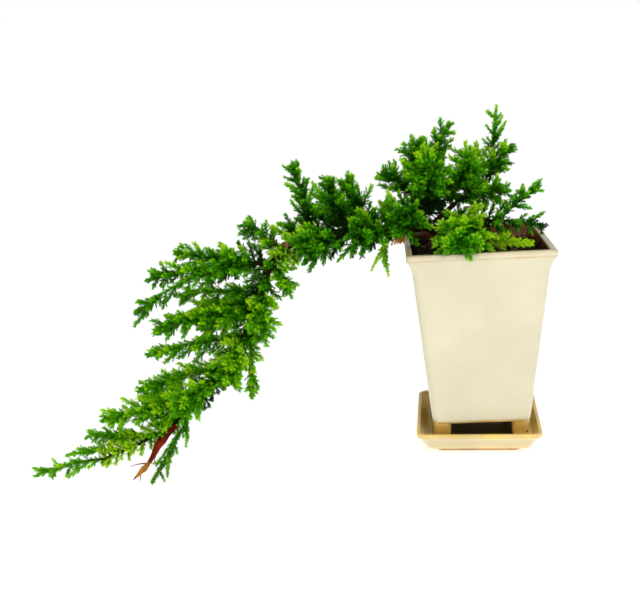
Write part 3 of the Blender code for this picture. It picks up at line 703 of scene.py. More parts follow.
def tubes(paths, radii, sides):
    """Closed tapering tubes along many paths of as many points: corners and triangles."""
    paths = np.asarray(paths, float)
    radii = np.asarray(radii, float)
    ways = unit(np.gradient(paths, axis=1))
    across = unit(np.cross(ways, np.array(SIDEWAYS)))
    other = np.cross(ways, across)
    angles = 2 * np.pi * np.arange(sides) / sides
    cosines = np.cos(angles)[None, None, :, None]
    sines = np.sin(angles)[None, None, :, None]
    rings = across[:, :, None, :] * cosines + other[:, :, None, :] * sines
    verts = (paths[:, :, None, :] + rings * radii[:, :, None, None]).reshape(-1, 3)
    count, spans = paths.shape[0], paths.shape[1] - 1
    here = np.arange(sides)
    after = (here + 1) % sides
    faces = []
    for span in range(spans):
        low = span * sides
        high = low + sides
        faces.append(np.stack([low + here, low + after, high + after], 1))
        faces.append(np.stack([low + here, high + after, high + here], 1))
    for index in range(1, sides - 1):
        last = spans * sides
        faces.append(np.array([[0, index + 1, index]]))
        faces.append(np.array([[last, last + index, last + index + 1]]))
    one = np.concatenate(faces)
    step = (spans + 1) * sides
    all_faces = one[None] + (np.arange(count) * step)[:, None, None]
    return verts, all_faces.reshape(-1, 3)


def blades(base, way, out, length, width):
    """Awl needles, each a blade folded along its keel: corners and triangles."""
    side = np.cross(way, out) * (width / 2)[:, None]
    keel = base + out * (width * 0.35)[:, None]
    tip = base + way * length[:, None]
    verts = np.stack([base + side, keel, base - side, tip], 1).reshape(-1, 3)
    one = np.array([[0, 1, 3], [1, 2, 3]])
    faces = one[None] + (np.arange(len(base)) * 4)[:, None, None]
    return verts, faces.reshape(-1, 3)


def join(parts):
    """One list of corners and one of triangles from several."""
    verts = []
    faces = []
    count = 0
    for part_verts, part_faces in parts:
        verts.append(part_verts)
        faces.append(part_faces + count)
        count += len(part_verts)
    return np.concatenate(verts), np.concatenate(faces)


def in_box(point):
    """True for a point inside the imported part's own box."""
    low, high = (np.array(corner) / MM for corner in cad_box)
    return bool(np.all(point > low) and np.all(point < high))


def open_air(root, way, length):
    """True for a spray whose outer part keeps clear of the pot and the soil."""
    marks = np.linspace(0.35, 1.0, 9)[:, None] * length
    return bool(room_around(root + way * marks).min() > 1.2)


class Plumes:
    """All the sprays of the plant: their axes, and the side twigs that they carry."""

    def __init__(self):
        self.axes = []
        self.axis_radii = []
        self.axis_regions = []
        self.base = []
        self.way = []
        self.length = []
        self.light = []
        self.region = []

    def add(self, rng, region, root, way, length, light, mass, arch=None):
        """A spray from its root on the stem: a bent axis with side twigs towards its tip."""
        root = np.array(root)
        way = np.array(way)
        across, other = square_frame(way)
        angle = rng.uniform(0, 2 * math.pi)
        bend = across * math.cos(angle) + other * math.sin(angle) + np.array([0, 0, 0.5])
        bend = bend - way * bend.dot(way)
        bow = rng.uniform(-PLUME_BOW, PLUME_BOW)
        clad = min(length * 0.94, PLUME_LONGEST)
        if arch is not None:
            bend = np.array([0, 0, 1.0])
            bow = -4 * arch
            clad = length
        while length > 8 and not (in_box(root + way * length) and open_air(root, way, length)):
            length *= 0.94
            clad = min(clad, length)
        bare = length - clad

        def axis(mark):
            mark = np.asarray(mark, float)[..., None]
            part = mark / length
            return root + way * mark + bend * (part * (part - 1) * length * bow)

        marks = np.linspace(0, length, PLUME_POINTS)
        self.axes.append(axis(marks))
        thick = 0.75 if arch is None else STEM_RADIUS
        self.axis_radii.append(np.interp(marks, (0, length), (thick, 0.22)))
        self.axis_regions.append(region)
        comb = mass.name == COMB_MASS
        count = max(3, int(clad / (COMB_SPACING if comb else SIDE_SPACING)))
        share = (np.arange(count) + 0.5) / count
        mark = bare + clad * share
        base = axis(mark)
        ahead = unit(axis(mark + 0.5) - axis(mark - 0.5))
        turn = np.radians(180.0 if comb else 137.5) * np.arange(count) + (math.pi / 2 if comb else angle)
        across, other = square_frame(ahead)
        out = across * np.cos(turn)[:, None] + other * np.sin(turn)[:, None]
        lean = np.radians(np.interp(share, (0, 1), SIDE_LEANS))
        lean = lean + rng.normal(0, 0.09, count)
        side_way = ahead * np.cos(lean)[:, None] + out * np.sin(lean)[:, None]
        longest = min(SIDE_LONGEST, 2.5 + 0.20 * clad) * SLENDER.get(mass.name, 1.0)
        if comb:
            longest = COMB_LONGEST * min(1.0, clad / 50)
        shape = np.interp(share, (0, 0.15, 0.5, 1), (0.6, 0.95, 1.0, 0.42))
        side_length = longest * shape * rng.uniform(0.78, 1.12, count)
        # Painted light and shade: twigs near the mass's surface, higher in it or facing up get brighter shades, twigs
        # deep inside it darker ones, and twigs towards a spray's tip brighter, partly as its paler new growth.
        depth = np.array([mass.share_of_space(Vector(point)) for point in base])
        middle_z = (mass.start.z + mass.end.z) / 2
        height = np.clip((base[:, 2] - middle_z) / mass.spread, -1.2, 1.2)
        lit = 0.12 * out[:, 2] + 0.06 * ahead[:, 2] + 0.14 * height
        glow = light + 0.22 * share + 0.44 * depth + lit + rng.normal(0, 0.05, count)
        self.base.append(base)
        self.way.append(side_way)
        self.length.append(side_length)
        self.light.append(glow)
        self.region.append(np.full(count, region))
        # The axis's own needles, as one more twig along each of its last spans
        spans = np.linspace(bare, length, 5)
        starts = axis(spans[:-1])
        ends = axis(spans[1:])
        self.base.append(starts)
        self.way.append(unit(ends - starts))
        self.length.append(np.linalg.norm(ends - starts, axis=1))
        # Painted light: the axis's needles grow brighter towards the spray's tip, partly as its paler new growth.
        self.light.append(light + 0.3 * np.linspace(0, 1, 4) + 0.18)
        self.region.append(np.full(4, region))


def room_around(points):
    """Distance of many points from the pot and the soil."""
    turn = math.radians(-POT_TURN)
    x = points[:, 0] * math.cos(turn) - points[:, 1] * math.sin(turn)
    y = points[:, 0] * math.sin(turn) + points[:, 1] * math.cos(turn)
    out = np.maximum(np.abs(x), np.abs(y))
    inside = POT_RIM_HALF - POT_WALL - out
    outside = out - POT_RIM_HALF
    above = points[:, 2] - POT_RIM_Z
    over = np.maximum(above, 0)
    within = np.minimum(points[:, 2] - SOIL_Z, np.hypot(inside, over))
    return np.where(outside > 0, np.hypot(outside, over), np.where(inside < 0, above, within))


def needles_on(base, way, length, rng):
    """Needles in threes along every twig: root, direction, outward side and length of each."""
    across, other = square_frame(way)
    roll = rng.uniform(0, 2 * math.pi, len(base))
    roots, ways, outs, lengths, owners, places = [], [], [], [], [], []
    index = np.arange(len(base))
    for whorl in range(int(length.max() / WHORL_SPACING) + 1):
        mark = (whorl + 0.35) * WHORL_SPACING
        on = mark < length
        share = np.clip(mark / length[on], 0, 1)
        lean = np.radians(np.interp(share, (0, 1), NEEDLE_LEANS))
        for third in range(3):
            angle = roll[on] + math.radians(60 * whorl + 120 * third)
            out = across[on] * np.cos(angle)[:, None] + other[on] * np.sin(angle)[:, None]
            stray = lean + rng.normal(0, 0.10, len(out))
            needle_way = way[on] * np.cos(stray)[:, None] + out * np.sin(stray)[:, None]
            roots.append(base[on] + way[on] * mark + out * 0.2)
            ways.append(needle_way)
            outs.append(unit(np.cross(needle_way, np.cross(out, needle_way))))
            size = NEEDLE_LENGTH * (1.0 - 0.25 * share) * rng.uniform(0.85, 1.15, len(out))
            lengths.append(size)
            owners.append(index[on])
            places.append(share)
    return [np.concatenate(part) for part in (roots, ways, outs, lengths, owners, places)]


def region_of(name):
    for region, starts in REGIONS.items():
        if name.startswith(starts):
            return region
    return "crown"


def group_light(name):
    for start, light in GROUP_LIGHT.items():
        if name.startswith(start):
            return light
    return 0.0


def make_foliage(masses, limbs, looks):
    """Every mass as stems, sprays, side twigs and needles, in pieces by region and shade."""
    names = list(REGIONS)
    rng = np.random.default_rng(NEEDLE_SEED)
    plumes = Plumes()
    for mass in masses:
        region = names.index(region_of(mass.name))
        light = group_light(mass.name) + 0.055
        way = (mass.end - mass.start).normalized()
        arch = MASSES[mass.name][6]
        plumes.add(rng, region, mass.start - way * 1.6, way, mass.reach, light, mass, arch)
        for root, way, length in grow(mass, masses, limbs) + fill(mass, masses, limbs):
            plumes.add(rng, region, root, way, length, light + rng.normal(0, 0.08), mass)
    by_name = {mass.name: mass for mass in masses}
    for seed, (limb_name, (mass_name, lift)) in enumerate(COVERED.items(), start=COVER_SEED):
        mass = by_name[mass_name]
        region = names.index(region_of(mass_name))
        # Painted shade: sprays on the limbs, deep in the tree, are coloured much darker than their mass.
        light = group_light(mass_name) - 0.44
        for root, way, length in cover(limbs[limb_name], limbs, random.Random(seed), lift):
            plumes.add(rng, region, root, way, length, light + rng.normal(0, 0.07), mass)
    for mass_name, share, heading, rise, length, extra in SINGLE_SPRAYS:
        mass = by_name[mass_name]
        region = names.index(region_of(mass_name))
        root = mass.line.at(share)[0]
        light = group_light(mass_name) + extra
        plumes.add(rng, region, root, heading_vector(heading, rise), length, light, mass)
    base = np.concatenate(plumes.base)
    way = np.concatenate(plumes.way)
    length = np.concatenate(plumes.length)
    light = np.concatenate(plumes.light)
    region = np.concatenate(plumes.region)
    tip = base + way * (length + 1.5)[:, None]
    low, high = (np.array(corner) / MM for corner in cad_box)
    fits = (room_around(tip) > 0.5) & (room_around(base) > 0.3) & (tip[:, 2] > LEAST_Z - 4)
    fits &= np.all(tip > low - 4, axis=1) & np.all(tip < high + 4, axis=1)
    base, way, length, light, region = (part[fits] for part in (base, way, length, light, region))
    root, needle_way, out, needle_length, owner, place = needles_on(base, way, length, rng)
    limits = np.array([shade[1] for shade in SHADES[:-1]])
    # Needles towards a twig's tip get brighter shades: paler new growth, and painted shade at the twig's foot.
    glow = light[owner] + TIP_GLOW * (place - 0.45) + rng.normal(0, 0.035, len(owner))
    shade = np.searchsorted(limits, glow)
    twig_shade = np.searchsorted(limits, light)
    width = NEEDLE_WIDTH * (0.7 + 0.3 * needle_length / NEEDLE_LENGTH)
    axes = np.array(plumes.axes)
    axis_radii = np.array(plumes.axis_radii)
    axis_regions = np.array(plumes.axis_regions)
    total = 0
    for number, name in enumerate(names):
        nodes = [mass.name for mass in masses if region_of(mass.name) == name]
        mine = axis_regions == number
        verts, faces = tubes(axes[mine], axis_radii[mine], 4)
        twigs = mesh_object(name + "_twigs", verts, faces, looks["twig"], smooth=True)
        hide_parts(*nodes)
        total += len(faces)
        for index, label in enumerate(shade[0] for shade in SHADES):
            chosen = (region[owner] == number) & (shade == index)
            if not chosen.any():
                continue
            parts = [
                blades(
                    root[chosen], needle_way[chosen], out[chosen], needle_length[chosen], width[chosen]
                )
            ]
            held = (region == number) & (twig_shade == index)
            if held.any():
                across = square_frame(way[held])[0]
                thick = np.full(held.sum(), 0.7)
                parts.append(blades(base[held], way[held], across, length[held], thick))
            verts, faces = join(parts)
            piece_name = f"{name}_needles_{label}"
            piece = mesh_object(piece_name, verts, faces, looks[piece_name])
            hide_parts(*nodes)
            total += len(faces)
    print("plumes", len(plumes.axes), "twigs", len(base), "needles", len(owner), "faces", total, file=sys.stderr)


def bark_tube(points, radii, sides, relief, flare=None):
    """A tube with ridges of stringy bark along it: corners and triangles."""
    path = np.array([list(point) for point in points])
    ways = unit(np.gradient(path, axis=0))
    across = unit(np.cross(ways, np.array(SIDEWAYS)))
    other = np.cross(ways, across)
    verts = []
    mark = 0.0
    for index, point in enumerate(path):
        mark += np.linalg.norm(point - path[max(index - 1, 0)])
        for side in range(sides):
            angle = 2 * math.pi * side / sides
            twist = angle + mark * 0.012
            spot = Vector((math.cos(twist) * 2.1, math.sin(twist) * 2.1, mark * 0.045))
            ridge = noise.noise(spot) + 0.5 * noise.noise(spot * 2.3 + Vector((7, 3, 1)))
            lump = noise.noise(Vector((math.cos(angle), math.sin(angle), mark * 0.11)) * 1.1)
            reach = radii[index] * (1.0 - relief + relief * (ridge * 1.1 + lump * 0.7))
            if flare:
                reach += flare(mark, angle)
            verts.append(point + (across[index] * math.cos(angle) + other[index] * math.sin(angle)) * reach)
    faces = []
    rings = len(path)
    for ring in range(rings - 1):
        for side in range(sides):
            after = (side + 1) % sides
            low = ring * sides
            high = low + sides
            faces.append((low + side, low + after, high + after))
            faces.append((low + side, high + after, high + side))
    last = (rings - 1) * sides
    for side in range(1, sides - 1):
        faces.append((0, side + 1, side))
        faces.append((last, last + side, last + side + 1))
    return np.array(verts), np.array(faces)


def root_flare(mark, angle):
    """How far the roots swell the trunk's foot, in ridges round it."""
    fade = max(0.0, 1.0 - mark / ROOT_FLARE_HEIGHT) ** 1.6
    return ROOT_FLARE * fade * (0.62 + 0.38 * math.cos(ROOT_RIDGES * angle + 0.7))


def resampled(points, step):
    """Points at even steps along a smooth curve."""
    path = np.array([list(point) for point in points])
    marks = np.concatenate([[0], np.cumsum(np.linalg.norm(np.diff(path, axis=0), axis=1))])
    wanted = np.linspace(0, marks[-1], max(3, int(marks[-1] / step)))
    return np.stack([np.interp(wanted, marks, path[:, axis]) for axis in range(3)], 1), wanted / marks[-1]


def make_bark(limbs, looks):
    """The trunk as one ridged mesh, then the boughs, the pruned stub and the dead branch."""
    corners = []
    radii_marks = []
    for name in TRUNK_STRETCHES:
        corners += [point.copy() for point in smooth_points(limbs[name].corners, 10)]
        radii_marks += list(np.linspace(*TRUNK_RADII[name], len(smooth_points(limbs[name].corners, 10))))
    path = np.array([list(point) for point in corners])
    marks = np.concatenate([[0], np.cumsum(np.linalg.norm(np.diff(path, axis=0), axis=1))])
    points, shares = resampled(corners, 1.3)
    radii = np.interp(shares * marks[-1], marks, radii_marks)
    parts = [bark_tube(points, radii, 30, 0.16, root_flare)]
    for name, limb in limbs.items():
        if name in TRUNK_STRETCHES or name in ("dead_branch", "stub"):
            continue
        points, shares = resampled([limb.points[0] - (limb.points[1] - limb.points[0]).normalized() * 1.6] + limb.points, 1.3)
        parts.append(bark_tube(points, np.interp(shares, (0, 1), limb.radii), 16, 0.14))
    stub = limbs["stub"]
    points, shares = resampled(stub.points, 1.2)
    parts.append(bark_tube(points, np.interp(shares, (0, 1), stub.radii), 18, 0.12))
    verts, faces = join(parts)
    bark = mesh_object("trunk_bark", verts, faces, looks["bark"], smooth=True)
    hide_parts(*TRUNK_STRETCHES, *[name for name in BOUGHS if name != "dead_branch"])
    end = np.array([list(stub.points[-1])])
    way = np.array([list(stub.tip_way)])
    face_path = np.stack([end, end + way * 0.25, end + way * 0.45], 1)
    verts, faces = tubes(face_path, np.array([[3.1, 3.0, 2.2]]), 18)
    cut = mesh_object("stub_cut", verts, faces, looks["cut_wood"], smooth=False)
    dead = limbs["dead_branch"]
    foot_way = (dead.points[1] - dead.points[0]).normalized()
    points, shares = resampled([dead.points[0] - foot_way * 1.6] + dead.points, 1.2)
    bend = np.array(list(foot_way.cross(Vector((0, 0, 1))).normalized()))
    points = points + bend * (DEAD_BEND * np.sin(shares * math.tau))[:, None]
    radii = np.interp(shares, *zip(*DEAD_RADII))
    split = int(len(points) * DEAD_TIP_SHARE)
    parts = [bark_tube(points[: split + 2], radii[: split + 2], 14, 0.22)]
    verts, faces = bark_tube(points[split:], radii[split:], 14, 0.30)
    tip = mesh_object("dead_branch_tip", verts, faces, looks["dead_tip"], smooth=True)
    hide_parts("dead_branch")
    rng = random.Random(9)
    for share, turn, length in ((0.42, 40, 16), (0.58, 170, 12), (0.70, 290, 14), (0.84, 80, 9), (0.93, 200, 7)):
        root, along = dead.at(share)
        side = Matrix.Rotation(math.radians(turn + rng.uniform(-15, 15)), 3, along) @ along.orthogonal().normalized()
        way = along * 0.75 + side * 0.66
        twig = arched_points(root, way.normalized(), length, 0.06, 5)
        fine, shares = resampled(twig, 1.5)
        parts.append(bark_tube(fine, np.interp(shares, (0, 1), (0.7, 0.25)), 6, 0.1))
    verts, faces = join(parts)
    wood = mesh_object("dead_branch_wood", verts, faces, looks["dead_wood"], smooth=True)
    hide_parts("dead_branch")


def make_dead_sprigs(limbs, looks):
    """Dead orange sprigs that hang from the trunk beside the pot's rim."""
    rng = random.Random(SPRIG_SEED)
    paths = []
    for index in range(SPRIG_COUNT):
        root = limbs["trunk"].at(rng.uniform(0.80, 1.0))[0]
        way = heading_vector(rng.uniform(190, 330), rng.uniform(-70, -35))
        length = rng.uniform(*SPRIG_LENGTHS)
        path = arched_points(root, way, length, 0.08, 5)
        if min(pot_room(point) for point in path) > 1.5:
            paths.append([list(point) for point in path])
    paths = np.array(paths)
    radii = np.tile(np.linspace(0.7, 0.3, paths.shape[1]), (len(paths), 1))
    base = paths[:, 1:-1].reshape(-1, 3)
    way = unit(paths[:, 2:] - paths[:, 1:-1]).reshape(-1, 3)
    length = np.full(len(base), SPRIG_LENGTHS[0] / 4)
    root, needle_way, out, size, owner, place = needles_on(
        base, way, length, np.random.default_rng(SPRIG_SEED)
    )
    needles = blades(root, needle_way, out, size, np.full(len(root), 1.2))
    verts, faces = join([tubes(paths, radii, 4), needles])
    sprigs = mesh_object("dead_sprigs", verts, faces, looks["litter"])


def rounded_square(half, corner, side_points, corner_points):
    """Points of a rounded square, anticlockwise, with points along its sides as well."""
    points = []
    for quarter in range(4):
        start = math.radians(90 * quarter)
        diagonal = start + math.radians(45)
        reach = math.sqrt(2) * (half - corner)
        centre = np.array([math.cos(diagonal), math.sin(diagonal)]) * reach
        for step in range(corner_points):
            angle = start + math.radians(90) * step / (corner_points - 1)
            points.append(centre + np.array([math.cos(angle), math.sin(angle)]) * corner)
        turn = start + math.radians(90)
        ahead = np.array([math.cos(turn + math.pi / 2), math.sin(turn + math.pi / 2)])
        last = points[-1]
        run = 2 * (half - corner)
        for step in range(1, side_points):
            points.append(last + ahead * run * step / side_points)
    return np.array(points)


def glazed_loft(name, rings, turn, material, wobble):
    """A pottery mesh through rounded squares, each (half, corner, height, thin glaze mark: up to 1 thin glaze, above 1
    stain and painted shade).
    """
    side_points = 14
    corner_points = 8
    verts = []
    thin = []
    angle = math.radians(turn)
    rotation = np.array([[math.cos(angle), -math.sin(angle)], [math.sin(angle), math.cos(angle)]])
    for half, corner, z, edge in rings:
        square = rounded_square(half, corner, side_points, corner_points)
        for x, y in square:
            bump = noise.noise(Vector((x, y, z)) * 0.021) * wobble
            shrink = 1 - abs(bump) / max(half, 1)
            spot = rotation @ np.array([x * shrink, y * shrink])
            verts.append((spot[0], spot[1], z))
            thin.append(edge)
    count = len(square)
    faces = []
    for ring in range(len(rings) - 1):
        for index in range(count):
            after = (index + 1) % count
            low = ring * count
            high = low + count
            faces.append((low + index, low + after, high + after))
            faces.append((low + index, high + after, high + index))
    low_middle = len(verts)
    verts.append((0, 0, rings[0][2]))
    verts.append((0, 0, rings[-1][2]))
    thin += [rings[0][3], rings[-1][3]]
    last = (len(rings) - 1) * count
    for index in range(count):
        after = (index + 1) % count
        faces.append((low_middle, after, index))
        faces.append((low_middle + 1, last + index, last + after))
    thing = mesh_object(name, np.array(verts), np.array(faces), material, smooth=True)
    attribute = thing.data.attributes.new("thin_glaze", "FLOAT", "POINT")
    attribute.data.foreach_set("value", np.array(thin, np.float32))
    thing.data.set_sharp_from_angle(angle=math.radians(50))
    return thing


def dense(rings, longest):
    """The same profile with more rings where two are far apart."""
    fine = [rings[0]]
    for ring in rings[1:]:
        before = fine[-1]
        gap = max(abs(ring[0] - before[0]), abs(ring[2] - before[2]))
        steps = max(1, math.ceil(gap / longest))
        for step in range(1, steps + 1):
            part = step / steps
            fine.append(tuple(a + (b - a) * part for a, b in zip(before, ring)))
    return fine


def arc(centre_half, centre_z, radius, start, end, steps, corner, edge):
    """Rings along a rounded edge of the profile, between two angles in degrees."""
    rings = []
    for step in range(steps + 1):
        angle = math.radians(start + (end - start) * step / steps)
        rings.append(
            (centre_half + radius * math.cos(angle), corner, centre_z + radius * math.sin(angle), edge)
        )
    return rings


def pot_half(z):
    """Half width of the pot's straight outer wall at a height."""
    slope = (POT_NECK_HALF - POT_BOTTOM_HALF) / (POT_NECK_Z - POT_BOTTOM_Z)
    return POT_BOTTOM_HALF + slope * (z - POT_BOTTOM_Z)


def make_pot(looks):
    lip_z = POT_RIM_Z - POT_LIP_HEIGHT
    inner = POT_RIM_HALF - POT_WALL
    rings = [(POT_BOTTOM_HALF - 1.6, POT_BODY_CORNER - 1, POT_BOTTOM_Z, 1.0)]
    rings += arc(POT_BOTTOM_HALF - 1.4, POT_BOTTOM_Z + 1.4, 1.4, -80, 0, 4, POT_BODY_CORNER, 0.9)
    rings += dense(
        [
            (pot_half(POT_BOTTOM_Z + 3.2), POT_BODY_CORNER, POT_BOTTOM_Z + 3.2, 0.28),
            (pot_half(POT_BOTTOM_Z + 7), POT_BODY_CORNER, POT_BOTTOM_Z + 7, 0.0),
            (POT_NECK_HALF, POT_BODY_CORNER, POT_NECK_Z, 0.0),
        ],
        9.0,
    )
    flare_reach = POT_RIM_HALF - 0.5 - POT_NECK_HALF
    flare_rise = lip_z - POT_NECK_Z
    steps = 12
    for step in range(1, steps + 1):
        angle = math.radians(90 * step / steps)
        rings.append(
            (
                POT_NECK_HALF + flare_reach * (1 - math.cos(angle)) ** 0.8,
                POT_BODY_CORNER - 2.4 * step / steps,
                POT_NECK_Z + flare_rise * (0.6 * step / steps + 0.4 * math.sin(angle)),
                0.0 if step < steps - 1 else 0.15,
            )
        )
    rings += arc(POT_RIM_HALF - 1.6, lip_z + 1.4, 1.6, -45, 0, 3, POT_LIP_CORNER, 0.5)
    rings.append((POT_RIM_HALF, POT_LIP_CORNER, lip_z + 3.0, 0.2))
    rings += arc(POT_RIM_HALF - 1.5, POT_RIM_Z - 1.5, 1.5, 0, 90, 5, POT_LIP_CORNER, 0.42)
    rings += arc(inner + 1.5, POT_RIM_Z - 1.5, 1.5, 90, 180, 5, 3.0, 0.55)
    neck_inner = pot_half(POT_NECK_Z) - POT_WALL
    floor_z = POT_BOTTOM_Z + POT_FLOOR
    rings += dense(
        # The inner wall carries a brown stain under the rim, darkened towards the soil as painted shade.
        [
            (inner, 3.0, POT_RIM_Z - 4, 1.5),
            (inner, 3.0, POT_RIM_Z - 7, 2.6),
            (neck_inner, 3.0, POT_NECK_Z + 2, 2.8),
            (pot_half(floor_z) - POT_WALL, 3.0, floor_z, 2.0),
        ],
        12.0,
    )
    pot = glazed_loft("pot_glazed", rings, POT_TURN, looks["pot_glaze"], 0.35)
    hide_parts("pot")
    middle = POT_BOTTOM_HALF - POT_FOOT_INSET - POT_FOOT_WIDTH / 2
    low_z = TRAY_FLOOR_Z + GAP
    turn = Matrix.Rotation(math.radians(POT_TURN), 3, "Z")
    for label, x, y in (("front_left", -1, -1), ("front_right", 1, -1), ("back_right", 1, 1), ("back_left", -1, 1)):
        half = POT_FOOT_WIDTH / 2
        corner = POT_FOOT_CORNER
        rings = [(half - POT_FOOT_TAPER - 0.8, corner - 2, low_z, 1.0)]
        rings += [
            (half - POT_FOOT_TAPER, corner - 1, low_z + 0.8, 1.0),
            (half - 0.4, corner, low_z + 8, 1.0),
            (half, corner, POT_BOTTOM_Z + 2.0, 1.0),
        ]
        foot = glazed_loft("pot_foot_" + label, dense(rings, 2.5), 0.0, looks["pot_glaze"], 0.2)
        spot = turn @ Vector((x * middle, y * middle, 0))
        foot.data.transform(Matrix.Translation(spot * MM) @ Matrix.Rotation(math.radians(POT_TURN), 4, "Z"))


def make_tray(looks):
    lip_z = TRAY_HEIGHT - TRAY_LIP_HEIGHT
    inner = TRAY_RIM_HALF - TRAY_WALL
    # The lowest rings carry a brown band along the foot as painted shade.
    rings = [(TRAY_FOOT_HALF - 0.6, 5.5, 0.0, 1.5)]
    rings += [
        (TRAY_FOOT_HALF, 6, 0.6, 1.4),
        (TRAY_FOOT_HALF + 0.5, 6, TRAY_BODY_BOTTOM_Z - 0.8, 1.1),
        (TRAY_BODY_BOTTOM_HALF - 1.2, 7, TRAY_BODY_BOTTOM_Z - 0.3, 0.95),
        (TRAY_BODY_BOTTOM_HALF - 0.2, 7, TRAY_BODY_BOTTOM_Z + 0.2, 0.8),
        (TRAY_BODY_BOTTOM_HALF + 0.5, 7, TRAY_BODY_BOTTOM_Z + 1.4, 0.45),
        (TRAY_BODY_BOTTOM_HALF + 2.4, 7.4, TRAY_BODY_BOTTOM_Z + 4.2, 0.12),
        (TRAY_RIM_HALF - 3.2, TRAY_CORNER, lip_z - 2.6, 0.10),
        (TRAY_RIM_HALF - 1.6, TRAY_CORNER, lip_z - 0.8, 0.35),
        (TRAY_RIM_HALF - 0.4, TRAY_CORNER, lip_z, 0.6),
        (TRAY_RIM_HALF, TRAY_CORNER, lip_z + 1.2, 0.45),
    ]
    rings += arc(TRAY_RIM_HALF - 1.2, TRAY_HEIGHT - 1.2, 1.2, 0, 90, 5, TRAY_CORNER, 0.95)
    rings += arc(inner + 1.0, TRAY_HEIGHT - 1.2, 1.1, 90, 180, 5, TRAY_CORNER - 3, 0.9)
    rings += [
        (inner - 0.9, TRAY_CORNER - 3, TRAY_HEIGHT - 3.5, 0.9),
        (TRAY_FLOOR_HALF + 1, 6, TRAY_FLOOR_Z + 1.6, 0.7),
        (TRAY_FLOOR_HALF, 5.6, TRAY_FLOOR_Z + 0.5, 0.95),
        (TRAY_FLOOR_HALF - 0.9, 5, TRAY_FLOOR_Z, 0.9),
        (TRAY_FLOOR_HALF - 10, 5, TRAY_FLOOR_Z, 0.8),
        # Painted shade: the floor under the pot is marked for the dark olive sheet.
        (TRAY_FLOOR_HALF - 14, 5, TRAY_FLOOR_Z, 3.0),
        (TRAY_FLOOR_HALF - 22, 5, TRAY_FLOOR_Z, 3.0),
    ]
    tray = glazed_loft("tray_glazed", dense(rings, 4.0), 0.0, looks["tray_glaze"], 0.2)
    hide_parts("tray")


def make_soil(looks):
    """A lumpy top of potting soil with grains, bark chips and dead needles lying on it."""
    inner = POT_RIM_HALF - POT_WALL
    neck_half = pot_half(POT_NECK_Z) - POT_WALL - GAP
    rise = (SOIL_EDGE_Z - POT_NECK_Z - 2) / (POT_RIM_Z - 1.6 - POT_NECK_Z - 2)
    edge_half = neck_half + (inner - neck_half - GAP) * rise - 0.2
    turn = math.radians(POT_TURN)

    def height(x, y):
        out = max(abs(x), abs(y))
        crown = SOIL_EDGE_Z + (SOIL_Z - SOIL_EDGE_Z) * min(1.0, (edge_half - out) / SOIL_SHOULDER)
        rough = noise.noise(Vector((x, y, 0)) * 0.11) * 0.8 + noise.noise(Vector((x, y, 9)) * 0.35) * 0.7
        return crown - 0.7 + rough

    def turned(x, y, z):
        return (x * math.cos(turn) - y * math.sin(turn), x * math.sin(turn) + y * math.cos(turn), z)

    size = 64
    line = np.linspace(-edge_half, edge_half, size)
    verts = [turned(x, y, height(x, y)) for y in line for x in line]
    faces = []
    for row in range(size - 1):
        for column in range(size - 1):
            a = row * size + column
            faces.append((a, a + 1, a + size + 1))
            faces.append((a, a + size + 1, a + size))
    ring = [row * size for row in range(size)]
    ring = (
        list(range(size))
        + [row * size + size - 1 for row in range(1, size)]
        + [(size - 1) * size + column for column in range(size - 2, -1, -1)]
        + [row * size for row in range(size - 2, 0, -1)]
    )
    start = len(verts)
    for index in ring:
        x, y, z = verts[index]
        verts.append((x * 0.985, y * 0.985, POT_NECK_Z))
    count = len(ring)
    for index in range(count):
        after = (index + 1) % count
        faces.append((ring[index], start + index, start + after))
        faces.append((ring[index], start + after, ring[after]))
    verts.append((0, 0, POT_NECK_Z))
    for index in range(count):
        faces.append((len(verts) - 1, start + (index + 1) % count, start + index))
    soil = mesh_object("potting_soil", np.array(verts), np.array(faces), looks["soil"], smooth=True)
    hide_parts("soil")

    rng = random.Random(31)
    ball = bmesh.new()
    bmesh.ops.create_icosphere(ball, subdivisions=1, radius=1.0)
    ball_verts = np.array([list(vert.co) for vert in ball.verts])
    ball_faces = np.array([[vert.index for vert in face.verts] for face in ball.faces])
    ball.free()
    for name, look, count, sizes in (
        ("soil_grains", "soil", 520, (0.7, 2.0)),
        ("soil_chips", "chips", 170, (0.8, 2.2)),
    ):
        parts = []
        while len(parts) < count:
            x = rng.uniform(-edge_half + 2.5, edge_half - 2.5)
            y = rng.uniform(-edge_half + 2.5, edge_half - 2.5)
            radius = rng.uniform(*sizes)
            spot = turned(x, y, height(x, y) + radius * 0.15)
            if math.hypot(spot[0] - TRUNK_FOOT[0], spot[1] - TRUNK_FOOT[1]) < 13:
                continue
            shape = ball_verts * [rng.uniform(0.8, 1.5), rng.uniform(0.6, 1.1), rng.uniform(0.35, 0.7)]
            shape = shape * (1 + 0.22 * np.array([[rng.uniform(-1, 1)] for _ in ball_verts]))
            spin = rng.uniform(0, math.tau)
            c, s = math.cos(spin), math.sin(spin)
            shape = shape @ np.array([[c, s, 0], [-s, c, 0], [0, 0, 1]]) * radius
            parts.append((shape + np.array(spot), ball_faces))
        verts, faces = join(parts)
        grains = mesh_object(name, verts, faces, looks[look])
    count = 170
    base = []
    way = []
    while len(base) < count:
        x = rng.uniform(-edge_half + 6, edge_half - 6)
        y = rng.uniform(-edge_half + 6, edge_half - 6)
        spot = turned(x, y, height(x, y) + 0.9)
        if math.hypot(spot[0] - TRUNK_FOOT[0], spot[1] - TRUNK_FOOT[1]) < 12:
            continue
        base.append(spot)
        way.append(heading_vector(rng.uniform(0, 360), rng.uniform(-4, 14)))
    base = np.array(base)
    way = np.array([list(item) for item in way])
    length = np.array([rng.uniform(3, 6) for _ in range(count)])
    verts, faces = blades(base, way, np.tile([0.0, 0, 1.0], (count, 1)), length, np.full(count, 0.7))
    litter = mesh_object("soil_dead_needles", verts, faces, looks["litter"])


